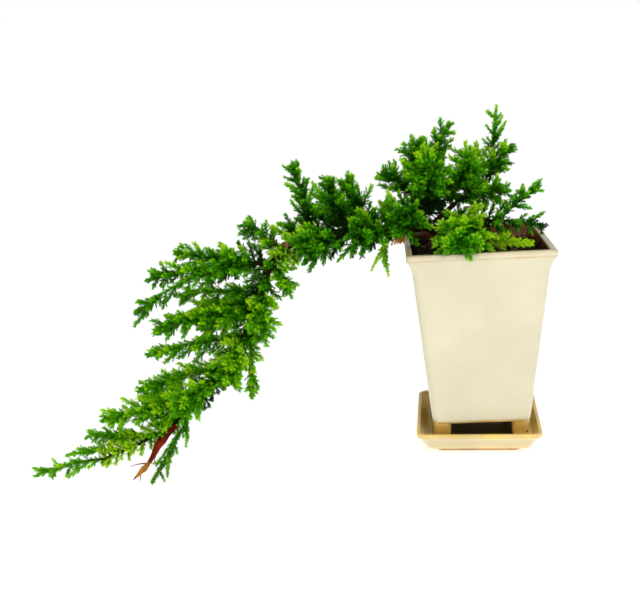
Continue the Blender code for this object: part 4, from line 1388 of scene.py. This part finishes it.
class Shader:
    """A procedural material and short ways to add nodes to it."""

    def __init__(self, name, roughness):
        self.material = bpy.data.materials.new(name)
        self.material.use_nodes = True
        self.tree = self.material.node_tree
        self.out = self.tree.nodes["Principled BSDF"]
        self.out.inputs["Roughness"].default_value = roughness
        place = self.tree.nodes.new("ShaderNodeTexCoord")
        self.place = place.outputs["Object"]

    def node(self, kind, links=(), **values):
        made = self.tree.nodes.new(kind)
        for key, value in values.items():
            if hasattr(made, key):
                setattr(made, key, value)
            else:
                made.inputs[key.replace("_", " ")].default_value = value
        for socket, source in dict(links).items():
            self.tree.links.new(source, made.inputs[socket])
        return made

    def noise(self, scale, detail=3.0, stretch=None):
        source = self.place
        if stretch:
            mapping = self.node("ShaderNodeMapping", {"Vector": source})
            mapping.inputs["Scale"].default_value = stretch
            source = mapping.outputs["Vector"]
        return self.node(
            "ShaderNodeTexNoise", {"Vector": source}, Scale=scale, Detail=detail
        ).outputs["Fac"]

    def ramp(self, source, stops):
        made = self.node("ShaderNodeValToRGB", {"Fac": source})
        elements = made.color_ramp.elements
        while len(elements) < len(stops):
            elements.new(0.5)
        for element, (place, colour) in zip(elements, stops):
            element.position = place
            element.color = (*colour, 1.0)
        return made.outputs["Color"]

    def mix(self, factor, first, second):
        made = self.node("ShaderNodeMix", data_type="RGBA")
        if isinstance(factor, float):
            made.inputs[0].default_value = factor
        else:
            self.tree.links.new(factor, made.inputs[0])
        for socket, source in ((6, first), (7, second)):
            if isinstance(source, tuple):
                made.inputs[socket].default_value = (*source, 1.0)
            else:
                self.tree.links.new(source, made.inputs[socket])
        return made.outputs[2]

    def colour(self, source):
        self.tree.links.new(source, self.out.inputs["Base Color"])

    def bump(self, source, strength, distance):
        made = self.node("ShaderNodeBump", {"Height": source}, Strength=strength, Distance=distance)
        self.tree.links.new(made.outputs["Normal"], self.out.inputs["Normal"])


def varied(name, colour, darker, scale, roughness, stretch=None, bump=0.0):
    """One colour broken up by noise, between its darker and its full tone."""
    shader = Shader(name, roughness)
    low = tuple(value * darker for value in colour)
    pattern = shader.noise(scale, 4.0, stretch)
    shader.colour(shader.ramp(pattern, ((0.32, low), (0.68, colour))))
    shader.out.inputs["Specular IOR Level"].default_value = 0.1
    if bump:
        shader.bump(pattern, bump, 0.0006)
    return shader.material


def glaze(name, cream, ochre, specks):
    """Cream glaze that breaks to ochre where it runs thin, with small iron specks, a brown stain darkened as painted
    shade, and a dark olive painted shade.
    """
    shader = Shader(name, 0.16)
    shader.out.inputs["Coat Weight"].default_value = 0.4
    shader.out.inputs["Coat Roughness"].default_value = 0.06
    cloud = shader.noise(16.0, 4.0)
    pale = tuple(min(1.0, value * 1.04) for value in cream)
    deep = tuple(value * 0.93 for value in cream)
    body = shader.ramp(cloud, ((0.35, deep), (0.65, pale)))
    thin = shader.node("ShaderNodeAttribute", attribute_name="thin_glaze").outputs["Fac"]
    breakup = shader.noise(48.0, 5.0)
    spread = shader.node("ShaderNodeMath", {0: thin, 1: breakup}, operation="MULTIPLY").outputs[0]
    mask = shader.node("ShaderNodeMapRange", {"Value": spread}, From_Min=0.12, From_Max=0.52).outputs[0]
    edge = shader.ramp(
        shader.noise(30.0, 4.0), ((0.3, tuple(value * 0.7 for value in ochre)), (0.62, ochre))
    )
    tone = shader.mix(mask, body, edge)
    # Brown stain on the pot's inner walls, darkened as painted shade there, and painted shade as a brown band along
    # the tray's foot.
    stain_and_shade = shader.ramp(
        shader.noise(26.0, 5.0), ((0.35, linear(64, 32, 10)), (0.65, linear(188, 104, 36)))
    )
    stain_and_shade_mask = shader.node("ShaderNodeMapRange", {"Value": thin}, From_Min=1.0, From_Max=1.5).outputs[0]
    tone = shader.mix(stain_and_shade_mask, tone, stain_and_shade)
    # Painted shade: a dark olive sheet on the tray's floor under the pot and on the pot's inner walls towards the
    # soil.
    painted_shade = shader.node("ShaderNodeMapRange", {"Value": thin}, From_Min=2.1, From_Max=3.0).outputs[0]
    tone = shader.mix(painted_shade, tone, linear(26, 36, 16))
    dots = shader.node("ShaderNodeTexVoronoi", {"Vector": shader.place}, Scale=specks)
    dot = shader.node("ShaderNodeMapRange", {"Value": dots.outputs["Distance"]}, From_Min=0.07, From_Max=0.035).outputs[0]
    rare = shader.node("ShaderNodeMapRange", {"Value": shader.noise(9.0, 1.0)}, From_Min=0.52, From_Max=0.6).outputs[0]
    shown = shader.node("ShaderNodeMath", {0: dot, 1: rare}, operation="MULTIPLY").outputs[0]
    shader.colour(shader.mix(shown, tone, linear(96, 78, 50)))
    shader.bump(shader.noise(220.0, 3.0), 0.08, 0.0003)
    return shader.material


def make_looks():
    looks = {
        "twig": varied("twig_bark", linear(62, 62, 18), 0.5, 240.0, 0.8),
        "bark": varied("juniper_bark", linear(56, 33, 17), 0.35, 190.0, 0.9, (1, 1, 0.35), 0.6),
        "cut_wood": varied("cut_wood", linear(160, 104, 70), 0.7, 300.0, 0.7),
        "dead_wood": varied("dead_wood", linear(134, 34, 10), 0.35, 120.0, 0.75),
        "dead_tip": varied("dead_tip", linear(212, 138, 54), 0.35, 220.0, 0.8),
        "soil": varied("potting_soil", linear(36, 24, 15), 0.3, 320.0, 0.95, None, 0.8),
        "chips": varied("bark_chips", linear(84, 46, 28), 0.5, 260.0, 0.9),
        "litter": varied("dead_needles", linear(255, 196, 66), 0.6, 200.0, 0.8),
        "pot_glaze": glaze("cream_glaze", linear(216, 208, 177), linear(200, 158, 74), 42.0),
        "tray_glaze": glaze("tray_glaze", linear(206, 190, 146), linear(252, 212, 104), 40.0),
    }
    for region, coolness in COOLNESS.items():
        for label, limit, warm, cool in SHADES:
            name = f"{region}_needles_{label}"
            colour = [a + (b - a) * coolness for a, b in zip(warm, cool)]
            looks[name] = varied(name, linear(*colour), 0.78, 160.0, 0.45)
            looks[name].node_tree.nodes["Principled BSDF"].inputs["Specular IOR Level"].default_value = 0.1
    return looks


def place_camera():
    lens = bpy.data.cameras.new("camera")
    lens.lens = LENS_MM
    lens.sensor_width = 36.0
    camera = bpy.data.objects.new("camera", lens)
    bpy.context.scene.collection.objects.link(camera)
    turn = (
        Matrix.Rotation(math.radians(CAMERA_YAW), 4, "Z")
        @ Matrix.Rotation(math.radians(90 - CAMERA_PITCH), 4, "X")
        @ Matrix.Rotation(math.radians(CAMERA_ROLL), 4, "Z")
    )
    camera.matrix_world = Matrix.Translation(CAMERA_PLACE) @ turn
    bpy.context.scene.camera = camera


def softbox(name, place, power, size):
    """A square soft light that faces the plant."""
    lamp = bpy.data.lights.new(name, "AREA")
    lamp.energy = power
    lamp.size = size
    thing = bpy.data.objects.new(name, lamp)
    bpy.context.scene.collection.objects.link(thing)
    thing.location = place
    aim = Vector((-0.1, -0.02, 0.16)) - Vector(place)
    thing.rotation_euler = aim.to_track_quat("-Z", "Y").to_euler()


def make_studio():
    """A plain white floor and soft light from above the camera."""
    softbox("key_light", (0.45, -1.15, 1.45), 13.0, 0.8)
    softbox("fill_light", (-1.3, -0.9, 0.7), 3.0, 1.2)
    world = bpy.data.worlds.new("studio")
    bpy.context.scene.world = world
    world.use_nodes = True
    backdrop = world.node_tree.nodes["Background"]
    backdrop.inputs["Color"].default_value = (1, 1, 1, 1)
    ray = world.node_tree.nodes.new("ShaderNodeLightPath")
    strength = world.node_tree.nodes.new("ShaderNodeMapRange")
    strength.inputs["To Min"].default_value = SKY_LIGHT
    world.node_tree.links.new(ray.outputs["Is Camera Ray"], strength.inputs["Value"])
    world.node_tree.links.new(strength.outputs["Result"], backdrop.inputs["Strength"])
    bpy.context.scene.view_settings.view_transform = "Standard"
    bm = bmesh.new()
    bmesh.ops.create_grid(bm, x_segments=1, y_segments=1, size=40.0)
    mesh = bpy.data.meshes.new("floor")
    bm.to_mesh(mesh)
    bm.free()
    shader = Shader("white_floor", 0.9)
    shader.out.inputs["Base Color"].default_value = (0.95, 0.95, 0.95, 1.0)
    shader.out.inputs["Specular IOR Level"].default_value = 0.0
    shader.out.inputs["Emission Color"].default_value = (1, 1, 1, 1)
    shader.out.inputs["Emission Strength"].default_value = FLOOR_GLOW
    mesh.materials.append(shader.material)
    floor = bpy.data.objects.new("floor", mesh)
    floor.location.z = -0.0005
    bpy.context.scene.collection.objects.link(floor)


place_camera()
make_studio()
LOOKS = make_looks()
LIMBS = make_limbs()
ALL_MASSES = [
    Mass(name, seed, LIMBS, plan) for seed, (name, plan) in enumerate(MASSES.items(), start=1)
]
make_foliage(ALL_MASSES, LIMBS, LOOKS)
make_bark(LIMBS, LOOKS)
make_dead_sprigs(LIMBS, LOOKS)
make_pot(LOOKS)
make_tray(LOOKS)
make_soil(LOOKS)
